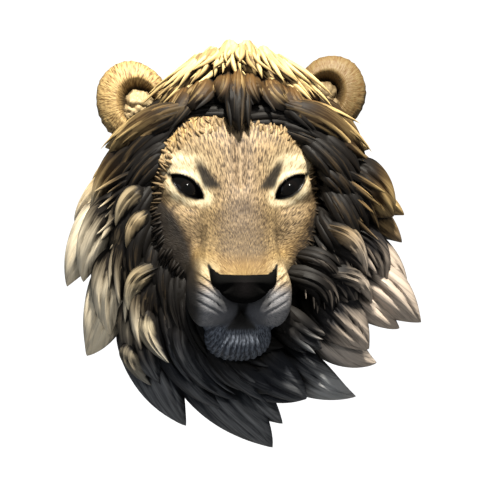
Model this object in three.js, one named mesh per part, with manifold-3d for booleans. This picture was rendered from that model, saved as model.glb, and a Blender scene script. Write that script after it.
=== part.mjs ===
import * as THREE from "three";
import { mergeVertices } from "three/addons/utils/BufferGeometryUtils.js";
import Module from "manifold-3d";

// A lion's head to hang on a wall, cast in one piece with a flat back and a keyhole pocket for a screw.
// In the part's frame +x is the viewer's right, +z is up, the wall is the plane y = 0 and the nose points to -y.

// Overall sizes, in millimetres
const HEAD_HEIGHT = 300; // lowest lock tip to the top of the crest
const RELIEF_DEPTH = 114; // wall to the front of the nose

// Keyhole pocket in the back, in millimetres
const SCREW_HEAD_BORE = 11; // diameter of the hole that the screw head goes in
const SHANK_SLOT = 5.5; // width of the slot that the shank slides up
const SLOT_TRAVEL = 12; // height from the bore's centre to the slot's upper centre
const POCKET_LIP = 4; // thickness of the lip that the screw head catches
const POCKET_DEPTH = 11; // depth of the whole pocket
const HANGER_RISE = 62; // height of the bore's centre above the origin
const CUT_OVERRUN = 1; // how far a cutter runs out past the wall plane

// The head is carved in units of a 300th of its height. Places are written x, z and h, the rise from the wall.
const CARVE = HEAD_HEIGHT / 300;
const RELIEF = RELIEF_DEPTH / 114;
const place = (x, z, h) => new THREE.Vector3(x * CARVE, -h * RELIEF, z * CARVE);

const wasm = await Module();
wasm.setup();

// A closed three.js geometry as a solid that can be joined and cut.
function solid(geometry) {
  const bare = geometry.clone();
  bare.deleteAttribute("normal");
  bare.deleteAttribute("uv");
  const merged = mergeVertices(bare, 1e-4);
  const mesh = new wasm.Mesh({
    numProp: 3,
    vertProperties: new Float32Array(merged.attributes.position.array),
    triVerts: new Uint32Array(merged.index.array),
  });
  return new wasm.Manifold(mesh);
}

// A geometry from points and triangles, turned round if it comes out inside out.
function closedGeometry(points, triangles) {
  let volume = 0;
  for (const [a, b, c] of triangles) volume += points[a].dot(points[b].clone().cross(points[c]));
  const faces = volume < 0 ? triangles.map(([a, b, c]) => [a, c, b]) : triangles;
  const geometry = new THREE.BufferGeometry();
  geometry.setAttribute("position", new THREE.Float32BufferAttribute(points.flatMap((p) => p.toArray()), 3));
  geometry.setIndex(faces.flat());
  return geometry;
}

// Skins rings of points that all have the same count; each end closes on a point.
function skinRings(start, rings, end) {
  const count = rings[0].length;
  const points = [start, ...rings.flat(), end];
  const last = points.length - 1;
  const triangles = [];
  for (let k = 0; k < count; k++) {
    const next = (k + 1) % count;
    triangles.push([0, 1 + k, 1 + next]);
    for (let i = 0; i < rings.length - 1; i++) {
      const a = 1 + i * count;
      const b = a + count;
      triangles.push([a + k, b + k, b + next], [a + k, b + next, a + next]);
    }
    const rim = 1 + (rings.length - 1) * count;
    triangles.push([rim + k, last, rim + next]);
  }
  return closedGeometry(points, triangles);
}

// Seeded variation between 0 and 1 for lock i, the same on every run.
function vary(i, key) {
  const v = Math.sin(i * 12.9898 + key * 78.233 + 4.1) * 43758.5453;
  return v - Math.floor(v);
}

// Straight-line reading of a table of [position, value] rows.
function readTable(table, at) {
  const next = table.findIndex(([position]) => position >= at);
  if (next <= 0) return table[next === 0 ? 0 : table.length - 1][1];
  const [x0, y0] = table[next - 1];
  const [x1, y1] = table[next];
  return y0 + ((y1 - y0) * (at - x0)) / (x1 - x0);
}

// Rough distances to soft forms, in carving units; points are [x, z, h]
const smoothMin = (a, b, k) => {
  const share = Math.min(Math.max(0.5 + (0.5 * (b - a)) / k, 0), 1);
  return b + (a - b) * share - k * share * (1 - share);
};
const smoothCut = (a, b, k) => -smoothMin(-a, b, k);

function ellipsoid(p, centre, radii) {
  const near = Math.hypot(...p.map((v, i) => (v - centre[i]) / radii[i]));
  const slope = Math.hypot(...p.map((v, i) => (v - centre[i]) / radii[i] ** 2));
  return (near * (near - 1)) / Math.max(slope, 1e-9);
}

function pillow(p, centre, radii, power) {
  const sum = p.reduce((total, v, i) => total + (Math.abs(v - centre[i]) / radii[i]) ** power, 0);
  return (sum ** (1 / power) - 1) * Math.min(...radii);
}

function capsule(p, from, to, radiusFrom, radiusTo) {
  const axis = to.map((v, i) => v - from[i]);
  const dot = p.reduce((total, v, i) => total + (v - from[i]) * axis[i], 0);
  const along = dot / axis.reduce((total, v) => total + v * v, 0);
  const t = Math.min(Math.max(along, 0), 1);
  return Math.hypot(...p.map((v, i) => v - from[i] - t * axis[i])) - (radiusFrom + (radiusTo - radiusFrom) * t);
}

// The eye: corners and bulge of the lid opening as x and z, and the ball behind it
const EYE_INNER = [26.5, 33.5];
const EYE_OUTER = [49, 50.5];
const LID_RISE = 6.4;
const LID_DROP = 6.4;
const EYE_BALL = [37.5, 41.5, 61];
const EYE_RADIUS = 15.6;
const LID_THICKNESS = 2.4;

// The face: distance below zero inside it. It is the same on both sides, so it is worked out for x above zero.
function faceField([x, z, h]) {
  const p = [Math.abs(x), z, h];
  let d = ellipsoid(p, [0, 46, 18], [70, 66, 64]); // skull
  d = smoothMin(d, ellipsoid(p, [22, 70, 52], [30, 26, 28]), 16); // forehead
  d = smoothMin(d, ellipsoid(p, [40, 60, 54], [20, 9, 18]), 10); // brow
  d = smoothMin(d, ellipsoid(p, [40, 6, 38], [27, 38, 34]), 18); // cheekbone
  const down = Math.min(Math.max((60 - z) / 82, 0), 1);
  const bridge = [p[0] * (0.98 - 0.16 * down), z, h];
  d = smoothMin(d, capsule(bridge, [0, 60, 62], [0, -22, 89], 24, 22.5), 12); // bridge of the nose
  d = smoothMin(d, ellipsoid(p, [38, 22, 50], [19, 15, 21]), 12); // below the eye
  d = smoothMin(d, ellipsoid(p, [46, 50, 33], [22, 36, 26]), 10); // temple
  d = smoothMin(d, ellipsoid(p, [0, -36, 20], [50, 44, 32]), 12); // jaw
  d = smoothMin(d, ellipsoid(p, [50, 5, 12], [38, 66, 34]), 16); // side of the head
  d = smoothMin(d, pillow(p, [0, -24, 64], [35, 25, 38], 2.1), 12); // muzzle
  d = smoothMin(d, pillow(p, [0, -66, 66], [24.5, 19, 29], 2.3), 4); // chin
  d = smoothMin(d, pillow(p, [18.5, -36.5, 76], [19.5, 25, 31], 2.35), 2.5); // whisker pad
  d = smoothCut(d, capsule(p, [24, 41, 88], [33, 58, 84], 3, 2), 5); // furrow over the inner eye corner
  d = smoothCut(d, capsule(p, [0, 44, 90], [0, 100, 81], 0.6, 2.6), 9); // groove of the forehead
  const ball = Math.hypot(...p.map((v, i) => v - EYE_BALL[i])) - EYE_RADIUS;
  return smoothMin(d, ball - LID_THICKNESS, 4); // lids, drawn over the ball
}

// The face turns a few degrees towards +x about an upright axis inside the head.
const FACE_YAW = THREE.MathUtils.degToRad(7);
const YAW_AXIS_H = 30;
const FACE_SHIFT = -7;
function facePlace(x, z, h) {
  const c = Math.cos(FACE_YAW);
  const s = Math.sin(FACE_YAW);
  return place(c * x + s * (h - YAW_AXIS_H) + FACE_SHIFT, z, -s * x + c * (h - YAW_AXIS_H) + YAW_AXIS_H);
}

const FACE_ORIGIN = [0, 0, 30];
const FACE_RINGS = 19;
const FACE_SPOKES = 36;
const FACE_TILT = 1.55; // how far round from the nose the rings go, in radians

// Distance from the face's origin out to its surface along a direction.
function faceReach(direction) {
  let outside = 135;
  const at = (r) => faceField(FACE_ORIGIN.map((v, i) => v + direction[i] * r));
  let gap = at(outside);
  let inside = outside;
  while (gap > 0 && outside > 0) {
    inside = outside - Math.max(gap * 0.7, 0.4);
    gap = at(inside);
    if (gap > 0) outside = inside;
  }
  for (let i = 0; i < 12; i++) {
    const middle = (inside + outside) / 2;
    if (at(middle) < 0) inside = middle;
    else outside = middle;
  }
  return (inside + outside) / 2;
}

// The face as spokes and rings round the nose, pushed out to the field's surface.
function face() {
  const nose = new THREE.Vector3(0, -0.35, 1).normalize();
  const right = new THREE.Vector3(1, 0, 0);
  const up = right.clone().cross(nose).negate();
  const reachAlong = (direction) => {
    const r = faceReach(direction.toArray());
    const [x, z, h] = FACE_ORIGIN.map((v, i) => v + direction.toArray()[i] * r);
    return facePlace(x, z, h);
  };
  const rings = [];
  for (let i = 1; i <= FACE_RINGS; i++) {
    const tilt = (FACE_TILT * i) / FACE_RINGS;
    const ring = [];
    for (let k = 0; k < FACE_SPOKES; k++) {
      const turn = (2 * Math.PI * k) / FACE_SPOKES;
      const direction = nose.clone().multiplyScalar(Math.cos(tilt));
      direction.addScaledVector(up, Math.sin(tilt) * Math.cos(turn));
      direction.addScaledVector(right, Math.sin(tilt) * Math.sin(turn));
      ring.push(reachAlong(direction));
    }
    rings.push(ring);
  }
  return solid(skinRings(reachAlong(nose), rings, facePlace(0, 30, -20)));
}

// A tube of even radius through points given as [x, z, h], closed at both ends or into a loop.
function tube(path, radius, sides, isLoop = false) {
  const points = path.map(([x, z, h]) => facePlace(x, z, h));
  const curve = new THREE.CatmullRomCurve3(points, isLoop);
  const steps = path.length * (isLoop ? 1 : 2);
  const section = new THREE.Shape();
  for (let k = 0; k < sides; k++) {
    const turn = (2 * Math.PI * k) / sides;
    const [x, y] = [radius * CARVE * Math.cos(turn), radius * CARVE * Math.sin(turn)];
    if (k === 0) section.moveTo(x, y);
    else section.lineTo(x, y);
  }
  section.closePath();
  return solid(new THREE.ExtrudeGeometry(section, { steps, extrudePath: curve, bevelEnabled: false }));
}

// Points of the lid opening, going round from the inner corner over the top.
function lidLine(count) {
  const middle = [(EYE_INNER[0] + EYE_OUTER[0]) / 2, (EYE_INNER[1] + EYE_OUTER[1]) / 2];
  const half = Math.hypot(EYE_OUTER[0] - EYE_INNER[0], EYE_OUTER[1] - EYE_INNER[1]) / 2;
  const axis = [(EYE_OUTER[0] - EYE_INNER[0]) / (2 * half), (EYE_OUTER[1] - EYE_INNER[1]) / (2 * half)];
  return Array.from({ length: count }, (_, i) => {
    const turn = Math.PI - (2 * Math.PI * i) / count;
    const along = half * Math.cos(turn);
    const across = Math.abs(Math.sin(turn)) ** 1.6 * (turn > 0 ? LID_RISE : -LID_DROP);
    return [middle[0] + along * axis[0] - across * axis[1], middle[1] + along * axis[1] + across * axis[0]];
  });
}

// One side's eye: an almond cut through the lids, the ball in it and a rim round it.
const LID_POINTS = 14;
function carveEye(head, side) {
  const outline = lidLine(LID_POINTS).map(([x, z]) => [side * x, z]);
  const shelf = (x, z, lift) => {
    const drop = EYE_RADIUS ** 2 - (Math.abs(x) - EYE_BALL[0]) ** 2 - (z - EYE_BALL[1]) ** 2;
    return EYE_BALL[2] + Math.sqrt(Math.max(drop, 9)) + lift;
  };
  const deep = outline.map(([x, z]) => facePlace(x, z, EYE_BALL[2]));
  const proud = outline.map(([x, z]) => facePlace(x, z, EYE_BALL[2] + 3 * EYE_RADIUS));
  const [cx, cz] = [side * EYE_BALL[0], EYE_BALL[1]];
  const front = facePlace(cx, cz, EYE_BALL[2] + 3 * EYE_RADIUS);
  const almond = skinRings(facePlace(cx, cz, EYE_BALL[2]), [deep, proud], front);
  const ball = new THREE.SphereGeometry(EYE_RADIUS, 14, 8);
  const centre = facePlace(cx, cz, EYE_BALL[2]);
  ball.scale(CARVE, RELIEF, CARVE).translate(centre.x, centre.y, centre.z);
  const rim = tube(outline.map(([x, z]) => [x, z, shelf(x, z, 1)]), 1.4, 5, true);
  return head.subtract(solid(almond)).add(solid(ball)).add(rim);
}

// The nose leather: a rounded wedge whose top corners turn up, with a nostril in each side.
const NOSE = {
  top: -20, bottom: -44, topHalf: 24, bottomHalf: 8, flick: 2.5, back: 86, front: 111.2, bevel: 4,
};
function noseLeather() {
  const { top, bottom, topHalf, bottomHalf, flick, back, front, bevel } = NOSE;
  const outline = new THREE.Shape();
  outline.moveTo(-bottomHalf + bevel, bottom + bevel);
  outline.lineTo(bottomHalf - bevel, bottom + bevel);
  outline.quadraticCurveTo(topHalf * 0.8, (top + bottom) / 2, topHalf - bevel, top - bevel + flick);
  outline.quadraticCurveTo(0, top - bevel - flick, -topHalf + bevel, top - bevel + flick);
  outline.quadraticCurveTo(-topHalf * 0.8, (top + bottom) / 2, -bottomHalf + bevel, bottom + bevel);
  const block = new THREE.ExtrudeGeometry(outline, {
    depth: front - back,
    bevelThickness: bevel,
    bevelSize: bevel,
    bevelSegments: 2,
    curveSegments: 3,
  });
  const position = block.attributes.position;
  for (let i = 0; i < position.count; i++) {
    const [x, z, out] = [position.getX(i), position.getY(i), position.getZ(i)];
    const slope = 0.33 * Math.max(top - 9 - z, 0) + 0.5 * Math.max(z - top + 6, 0) + 0.018 * x * x;
    const p = facePlace(x, z, back + out - slope);
    position.setXYZ(i, p.x, p.y, p.z);
  }
  return solid(block);
}

// Lines cut into the muzzle: nostrils, the split lip and the mouth
function carveMuzzle(head) {
  let cut = head;
  for (const side of [-1, 1]) {
    const nostril = tube([[side * 9.5, -31, 119], [side * 14, -31.5, 113], [side * 20, -34, 106]], 3, 6);
    const lip = tube([[0, -46, 109], [side * 7, -57, 104], [side * 19, -63, 98], [side * 31, -59, 88]], 1.7, 5);
    cut = cut.subtract(nostril).subtract(lip);
  }
  return cut.subtract(tube([[0, -39, 114], [0, -48, 110], [0, -58, 104]], 1.5, 5));
}

// The mane is laid out round its centre by angle, clockwise from the top, and by radius.
const MANE_CENTRE = { x: -2, z: 10 };
const FULL_TURN = 360;
const wrap = (angle) => ((angle + 540) % FULL_TURN) - 180;
function polar(angle, radius, h) {
  const a = THREE.MathUtils.degToRad(angle);
  return [MANE_CENTRE.x + radius * Math.sin(a), MANE_CENTRE.z + radius * Math.cos(a), h];
}

// Reach of the lock tips, the edge of the face, and how far hair drifts round on its way out, by angle
const REACH = [
  [-180, 157], [-165, 149], [-148, 142], [-130, 145], [-108, 133], [-88, 123], [-64, 113],
  [-50, 112], [-25, 116], [0, 130], [25, 120], [49, 114], [64, 116], [84, 124],
  [109, 132], [117, 148], [135, 141], [150, 147], [171, 160], [180, 157],
];
const FACE_EDGE = [
  [-180, 78], [-150, 66], [-120, 58], [-90, 66], [-60, 76], [-30, 84], [0, 84],
  [30, 86], [60, 79], [90, 65], [120, 57], [150, 66], [180, 78],
];
const DRIFT = [
  [-180, -38], [-150, -32], [-120, -34], [-90, -38], [-60, -44], [-25, -36], [0, 0], [25, 36],
  [60, 40], [85, 26], [100, 24], [115, 8], [133, 2], [148, -14], [168, -30], [180, -38],
];
const reachAt = (angle) => readTable(REACH, wrap(angle));
const faceEdgeAt = (angle) => readTable(FACE_EDGE, wrap(angle));
const driftAt = (angle) => readTable(DRIFT, wrap(angle));

// The long locks that draw the outline: angle and reach of the tip, drift, width, bow and hook
const OUTER_LOCKS = [
  [171, 163, -42, 56, 0, 12], [167, 147, -30, 42, 0, 4], [-165, 150, -40, 55, 4, 8],
  [144.5, 151, -29, 42, -5, -8], [133.5, 142, -4, 40, 0, -8], [116.5, 152, 8, 46, -3, -6],
  [121, 140, 5, 30, 0, -3], [108.5, 133, 18, 32, 0, 0], [94, 122, 22, 30, 0, 0],
  [84.5, 124, 20, 30, 0, 0], [70, 114, 28, 32, 0, 0], [58, 115, 28, 34, 0, 0],
  [47, 118, 22, 34, 0, 0], [-129.5, 146, -32, 44, -2, 8], [-108, 134, -44, 46, -2, 0],
  [-87, 122, -40, 32, 0, 0],
  [-71, 115, -36, 34, 0, 0], [-58, 117, -28, 34, 0, 0], [-47, 118, -22, 34, 0, 0],
];
const OUTER = { rootRadius: 70, rootH: 20, tipH: 6, thickness: 15, lift: 12, flick: 3, lean: 0.4 };
const outerLocks = OUTER_LOCKS.map(([angle, reach, drift, width, bow, hook]) => ({
  ...OUTER,
  from: [angle - drift, OUTER.rootRadius, OUTER.rootH],
  to: [angle, reach, OUTER.tipH],
  width,
  bow,
  hook,
  roll: drift > 0 ? 0.25 : -0.25,
}));

// The three tiers between face and outline. root and tip are shares of the way out; h is the rise at each end.
const TIERS = [
  { count: 13, root: 0.1, tip: 0.78, rootH: 34, tipH: 24, width: 44, thickness: 15, lift: 14, key: 20 },
  { count: 13, root: -0.02, tip: 0.52, rootH: 46, tipH: 38, width: 38, thickness: 14, lift: 12, key: 40 },
  { count: 14, root: -0.14, tip: 0.3, rootH: 55, tipH: 50, width: 28, thickness: 12, lift: 10, key: 60 },
];
const PARTING = 24; // the tiers stop short of the crest by this angle on each side
function tierLock(tier, i) {
  const chance = (n) => vary(i, tier.key + n);
  const angle = PARTING + ((FULL_TURN - 2 * PARTING) * (i + 0.5)) / tier.count + 8 * (chance(0) - 0.5);
  const drift = driftAt(angle) * (0.8 + 0.4 * chance(1));
  const side = Math.sign(drift) || 1;
  const rootAngle = angle - drift;
  const share = tier.tip + 0.16 * (chance(2) - 0.5);
  const between = (a, part) => faceEdgeAt(a) + (reachAt(a) - faceEdgeAt(a)) * part;
  return {
    from: [rootAngle, between(rootAngle, tier.root), tier.rootH],
    to: [angle, between(angle, share), tier.tipH + 6 * (chance(3) - 0.5)],
    width: tier.width * (0.8 + 0.4 * chance(4)),
    thickness: tier.thickness,
    bow: -6 * side * chance(5),
    hook: -side * (10 * chance(6) - 4),
    lift: tier.lift,
    flick: 6,
    lean: 0.5,
    roll: 0.6 * side * (chance(9) - 0.2),
  };
}
const tierLocks = TIERS.flatMap((tier) => Array.from({ length: tier.count }, (_, i) => tierLock(tier, i)));

// Rows of locks that fall forward over the crown and fan out. The last is the tuft on the forehead.
const FORELOCKS = [
  { count: 6, key: 80, rootFan: 16, tipFan: 40, droop: 9, root: 135.4, tip: 111, rootH: 27, tipH: 60, width: 28 },
  { count: 6, key: 90, rootFan: 24, tipFan: 48, droop: 6, root: 114, tip: 92, rootH: 52, tipH: 74, width: 25 },
  { count: 1, key: 95, rootFan: 0, tipFan: 0, droop: 0, root: 112, tip: 68, rootH: 62, tipH: 82, width: 20 },
];
const FORELOCK_THICKNESS = 12;
function foreLock(row, i) {
  const across = row.count > 1 ? ((i + 0.5) / row.count) * 2 - 1 : 0;
  const fall = Math.abs(across);
  return {
    from: [across * row.rootFan, row.root - row.droop * fall, row.rootH],
    to: [across * row.tipFan, row.tip + 5 * vary(i, row.key) - 4 * fall, row.tipH - 10 * fall],
    width: row.width,
    thickness: FORELOCK_THICKNESS,
    bow: 0,
    hook: 0,
    lift: 8,
    flick: 0,
    lean: 1.4,
    roll: 0.3 * across,
  };
}
const foreLocks = FORELOCKS.flatMap((row) => Array.from({ length: row.count }, (_, i) => foreLock(row, i)));

// Two long rolls that lie along the forehead, one on each side of the parting
const rolls = [-1, 1].map((side) => ({
  from: [side * 24, 94.5, 64],
  to: [side * 60, 109.5, 44],
  width: 24,
  thickness: 12,
  bow: -3 * side,
  hook: 0,
  lift: 6,
  flick: -4,
  lean: 0.9,
  roll: 0.4 * side,
}));

// A share of a lock's full width or thickness, from root to tip.
const taper = (t) => (1 - t ** 3.2) * (0.55 + 0.45 * Math.sin((Math.min(t / 0.45, 1) * Math.PI) / 2));

// One lock of hair: a crowned blade with a groove down its face, swept along a curving path.
const LOCK_STEPS = 5;
const CROWN = [-1, -0.5, 0, 0.5, 1];
function lockOfHair(lock) {
  const pathAt = (t) => {
    const sway = lock.bow * Math.sin(Math.PI * t) + lock.hook * (t ** 3 - t);
    const angle = lock.from[0] + (lock.to[0] - lock.from[0]) * t + sway;
    const radius = lock.from[1] + (lock.to[1] - lock.from[1]) * t;
    const rise = lock.from[2] + (lock.to[2] - lock.from[2]) * t;
    const h = rise + lock.lift * Math.sin(Math.PI * t ** 0.9) + lock.flick * t ** 4;
    return new THREE.Vector3(...polar(angle, radius, h));
  };
  const toPart = (v) => place(v.x, v.y, v.z);
  const rings = [];
  for (let i = 0; i < LOCK_STEPS; i++) {
    const t = 1 - (1 - i / LOCK_STEPS) ** 1.15;
    const centre = pathAt(t);
    const along = pathAt(t + 1e-3).sub(pathAt(Math.max(t - 1e-3, 0))).normalize();
    const out = new THREE.Vector3(centre.x - MANE_CENTRE.x, centre.y - MANE_CENTRE.z, 0).setLength(lock.lean);
    out.z = 1;
    out.addScaledVector(along, -out.dot(along)).normalize();
    const across = along.clone().cross(out);
    const turn = lock.roll * t;
    const normal = out.clone().multiplyScalar(Math.cos(turn)).addScaledVector(across, Math.sin(turn));
    const width = across.clone().multiplyScalar(Math.cos(turn)).addScaledVector(out, -Math.sin(turn));
    const half = (lock.width / 2) * taper(t) + 0.2;
    const thick = lock.thickness * taper(t) ** 0.7;
    const ring = CROWN.map((u) => {
      const groove = 1 - 0.25 * Math.exp(-((u / 0.3) ** 2));
      const crown = Math.abs(u) < 1 ? (1 - Math.abs(u) ** 2.2) ** 0.75 * groove : 0;
      return toPart(centre.clone().addScaledVector(width, u * half).addScaledVector(normal, thick * crown));
    });
    ring.push(toPart(centre.clone().addScaledVector(normal, -0.5 * thick)));
    rings.push(ring);
  }
  return solid(skinRings(toPart(pathAt(0)), rings, toPart(pathAt(1))));
}

// The body that carries the mane: a low dome on a flat back, inside the lock tips all round.
const DOME_INSET = 48;
const DOME_EDGE = 5;
const DOME_TOP = 50;
const DOME_SPOKES = 30;
const DOME_RINGS = 4;
function dome() {
  const ringAt = (share, h) =>
    Array.from({ length: DOME_SPOKES }, (_, k) => {
      const angle = (FULL_TURN * k) / DOME_SPOKES - 180;
      return place(...polar(angle, (reachAt(angle) - DOME_INSET) * share, h));
    });
  const rings = [ringAt(1, -CUT_OVERRUN)];
  for (let i = 0; i < DOME_RINGS; i++) {
    const share = 1 - i / DOME_RINGS;
    rings.push(ringAt(share, DOME_EDGE + (DOME_TOP - DOME_EDGE) * (1 - share ** 3) ** 0.9));
  }
  return solid(skinRings(place(...polar(0, 0, -CUT_OVERRUN)), rings, place(...polar(0, 0, DOME_TOP))));
}

// A rounded mass given by its centre and radii as x, z and h, leaning over by an angle
function rounded(centre, radii, lean, segments) {
  const ball = new THREE.SphereGeometry(1, segments, Math.round(segments * 0.6));
  ball.scale(radii[0] * CARVE, radii[2] * RELIEF, radii[1] * CARVE);
  ball.rotateY(THREE.MathUtils.degToRad(lean));
  const p = place(...centre);
  return solid(ball.translate(p.x, p.y, p.z));
}

// The crown of the head, under the crest
const CROWN_CENTRE = [-3, 103, 17];
const CROWN_RADII = [54, 41, 42];

// Ears: thick round shells leaning out, each with a cup hollowed in the front and a tuft of hair in it
const EARS = [
  { x: -79.5, z: 104.5, width: 54, height: 63, lean: -20 },
  { x: 66, z: 111, width: 52, height: 58, lean: 20 },
];
const EAR_RISE = 27;
const EAR_THICKNESS = 26;
function ear({ x, z, width, height, lean }) {
  const inward = -Math.sign(x);
  const shell = rounded([x, z, EAR_RISE], [width / 2, height / 2, EAR_THICKNESS / 2], lean, 18);
  const cup = rounded([x + 4 * inward, z - 3, EAR_RISE + 12], [width * 0.26, height * 0.29, 14], lean, 14);
  const tuft = rounded([x + 6 * inward, z - 6, EAR_RISE + 3], [9, 11, 9], lean, 8);
  return shell.subtract(cup).add(tuft);
}

// Keyhole pocket, cut in real millimetres
function keyhole() {
  const slotTop = HANGER_RISE + SLOT_TRAVEL;
  const round = (diameter, depth, from, z) => {
    const cylinder = new THREE.CylinderGeometry(diameter / 2, diameter / 2, depth, 20);
    return solid(cylinder.translate(0, -from - depth / 2, z));
  };
  const channel = (width, depth, from) => {
    const box = new THREE.BoxGeometry(width, depth, SLOT_TRAVEL);
    const straight = solid(box.translate(0, -from - depth / 2, HANGER_RISE + SLOT_TRAVEL / 2));
    return straight.add(round(width, depth, from, slotTop));
  };
  const lipDepth = POCKET_LIP + CUT_OVERRUN;
  const bore = round(SCREW_HEAD_BORE, POCKET_DEPTH + CUT_OVERRUN, -CUT_OVERRUN, HANGER_RISE);
  const slot = channel(SHANK_SLOT, lipDepth, -CUT_OVERRUN);
  return bore.add(slot).add(channel(SCREW_HEAD_BORE, POCKET_DEPTH - POCKET_LIP, POCKET_LIP));
}

// Everything behind the wall plane is cut away.
function wallBlock() {
  const deep = RELIEF_DEPTH;
  const block = new THREE.BoxGeometry(2 * HEAD_HEIGHT, deep, 2 * HEAD_HEIGHT);
  return solid(block.translate(0, deep / 2, 0));
}

function lionHead() {
  let head = face().add(noseLeather());
  head = carveMuzzle(head);
  for (const side of [-1, 1]) head = carveEye(head, side);
  head = head.add(dome()).add(rounded(CROWN_CENTRE, CROWN_RADII, 0, 20));
  for (const spec of EARS) head = head.add(ear(spec));
  for (const lock of [...outerLocks, ...tierLocks, ...foreLocks, ...rolls]) head = head.add(lockOfHair(lock));
  return head.subtract(wallBlock()).subtract(keyhole());
}

// Corner numbers of the triangles that hang together with the most others: the outside of the casting. Pockets closed
// in among the locks are shells of their own; the casting is solid under its locks, so they are left off.
function outerShell(corners, pointCount) {
  const group = Array.from({ length: pointCount }, (_, i) => i);
  const rootOf = (i) => {
    let root = i;
    while (group[root] !== root) root = group[root];
    while (group[i] !== root) [group[i], i] = [root, group[i]];
    return root;
  };
  for (let i = 0; i < corners.length; i += 3) {
    group[rootOf(corners[i + 1])] = rootOf(corners[i]);
    group[rootOf(corners[i + 2])] = rootOf(corners[i]);
  }
  const sizes = new Map();
  for (const corner of corners) sizes.set(rootOf(corner), (sizes.get(rootOf(corner)) ?? 0) + 1);
  const [largest] = [...sizes].reduce((a, b) => (b[1] > a[1] ? b : a));
  return [...corners].filter((corner) => rootOf(corner) === largest);
}

// Where two surfaces cross they leave slivers. Each edge shorter than this shrinks to its middle, if the triangles
// round it keep their facing and stay one closed skin; edges that touch the wall plane or the pocket stay.
const SHORTEST_EDGE = 1.7; // in carving units
const MOST_TURN = 0.6; // lowest cosine between a triangle's old and new facing
const SLIVER_AREA = 0.05; // a triangle smaller than half this, in square millimetres, may turn over
const CLEAN_PASSES = 3;
function shrinkShortEdges(corners, points) {
  const faces = [];
  const around = points.map(() => new Set());
  for (let i = 0; i < corners.length; i += 3) {
    for (const corner of corners.slice(i, i + 3)) around[corner].add(faces.length);
    faces.push(corners.slice(i, i + 3));
  }
  const facing = ([a, b, c], moved, to) => {
    const [p, q, r] = [a, b, c].map((i) => (moved.includes(i) ? to : points[i]));
    return q.clone().sub(p).cross(r.clone().sub(p));
  };
  const neighbours = (i) => new Set([...around[i]].flatMap((f) => faces[f]).filter((j) => j !== i));
  const shrink = (a, b) => {
    const shared = [...neighbours(a)].filter((i) => neighbours(b).has(i));
    if (shared.length !== 2) return;
    const middle = points[a].clone().lerp(points[b], 0.5);
    for (const f of new Set([...around[a], ...around[b]])) {
      if (faces[f].includes(a) && faces[f].includes(b)) continue;
      const before = facing(faces[f], [], middle);
      const after = facing(faces[f], [a, b], middle);
      if (after.length() < 1e-2 && before.length() > after.length()) return;
      if (before.length() < SLIVER_AREA) continue;
      if (after.dot(before) < MOST_TURN * after.length() * before.length()) return;
    }
    for (const f of [...around[b]]) {
      if (faces[f].includes(a)) for (const i of faces[f]) around[i].delete(f);
      else {
        faces[f] = faces[f].map((i) => (i === b ? a : i));
        around[a].add(f);
      }
      if (!around[a].has(f)) faces[f] = null;
    }
    points[a] = middle;
  };
  const isShallow = (i) => points[i].y > -POCKET_DEPTH - CUT_OVERRUN;
  const isFixed = (i) => isShallow(i) && (points[i].y > -0.01 || nearPocket(points[i]));
  for (let i = 0; i < CLEAN_PASSES * faces.length; i++) {
    const f = i % faces.length;
    for (let k = 0; k < 3 && faces[f]; k++) {
      const [a, b] = [faces[f][k], faces[f][(k + 1) % 3]];
      if (points[a].distanceTo(points[b]) < SHORTEST_EDGE * CARVE && !isFixed(a) && !isFixed(b)) shrink(a, b);
    }
  }
  return faces.filter((face) => face).flat();
}
const nearPocket = (p) => Math.hypot(p.x, p.z - HANGER_RISE - SLOT_TRAVEL / 2) < SCREW_HEAD_BORE + SLOT_TRAVEL;

// A solid back as a three.js geometry.
function geometryOf(made) {
  const mesh = made.getMesh();
  const points = [];
  for (let i = 0; i < mesh.vertProperties.length; i += 3) {
    points.push(new THREE.Vector3().fromArray(mesh.vertProperties, i));
  }
  const corners = shrinkShortEdges(outerShell(mesh.triVerts, points.length), points);
  const open = new THREE.BufferGeometry();
  open.setAttribute("position", new THREE.Float32BufferAttribute(points.flatMap((p) => p.toArray()), 3));
  open.setIndex(corners);
  const geometry = mergeVertices(open.toNonIndexed(), 1e-4);
  geometry.computeVertexNormals();
  return geometry;
}

const paintedResin = new THREE.MeshStandardMaterial({ color: 0x6b5233, roughness: 0.6, metalness: 0 });
const head = new THREE.Mesh(geometryOf(lionHead()), paintedResin);
head.name = "lion_head";

const sculpture = new THREE.Group();
sculpture.add(head);
export default sculpture;
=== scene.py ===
"""A lion's head to hang on a wall: the finished carving, its paint, and the lights and camera."""

import math

import bmesh
import bpy
import numpy as np
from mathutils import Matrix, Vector
from mathutils.bvhtree import BVHTree


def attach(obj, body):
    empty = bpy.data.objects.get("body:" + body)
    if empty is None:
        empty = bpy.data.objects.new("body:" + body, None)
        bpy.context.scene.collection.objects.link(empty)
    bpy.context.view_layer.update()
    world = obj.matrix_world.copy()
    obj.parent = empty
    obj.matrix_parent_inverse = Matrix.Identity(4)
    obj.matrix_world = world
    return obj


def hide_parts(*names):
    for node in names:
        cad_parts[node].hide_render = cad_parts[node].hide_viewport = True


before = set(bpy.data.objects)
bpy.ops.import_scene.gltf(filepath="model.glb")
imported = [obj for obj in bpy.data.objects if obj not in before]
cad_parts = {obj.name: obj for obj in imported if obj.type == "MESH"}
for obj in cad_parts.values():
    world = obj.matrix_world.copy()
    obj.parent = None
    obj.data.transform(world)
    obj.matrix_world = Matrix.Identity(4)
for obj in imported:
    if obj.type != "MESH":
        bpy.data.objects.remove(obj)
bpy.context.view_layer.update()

# The carving is worked in millimetres as x, z and h, where h is the rise from the wall.
MM = 0.001


def to_world(points):
    """Points of the carving, as x, z and h, in the frame's metres."""
    return np.stack([points[..., 0], -points[..., 2], points[..., 1]], -1) * MM


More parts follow.
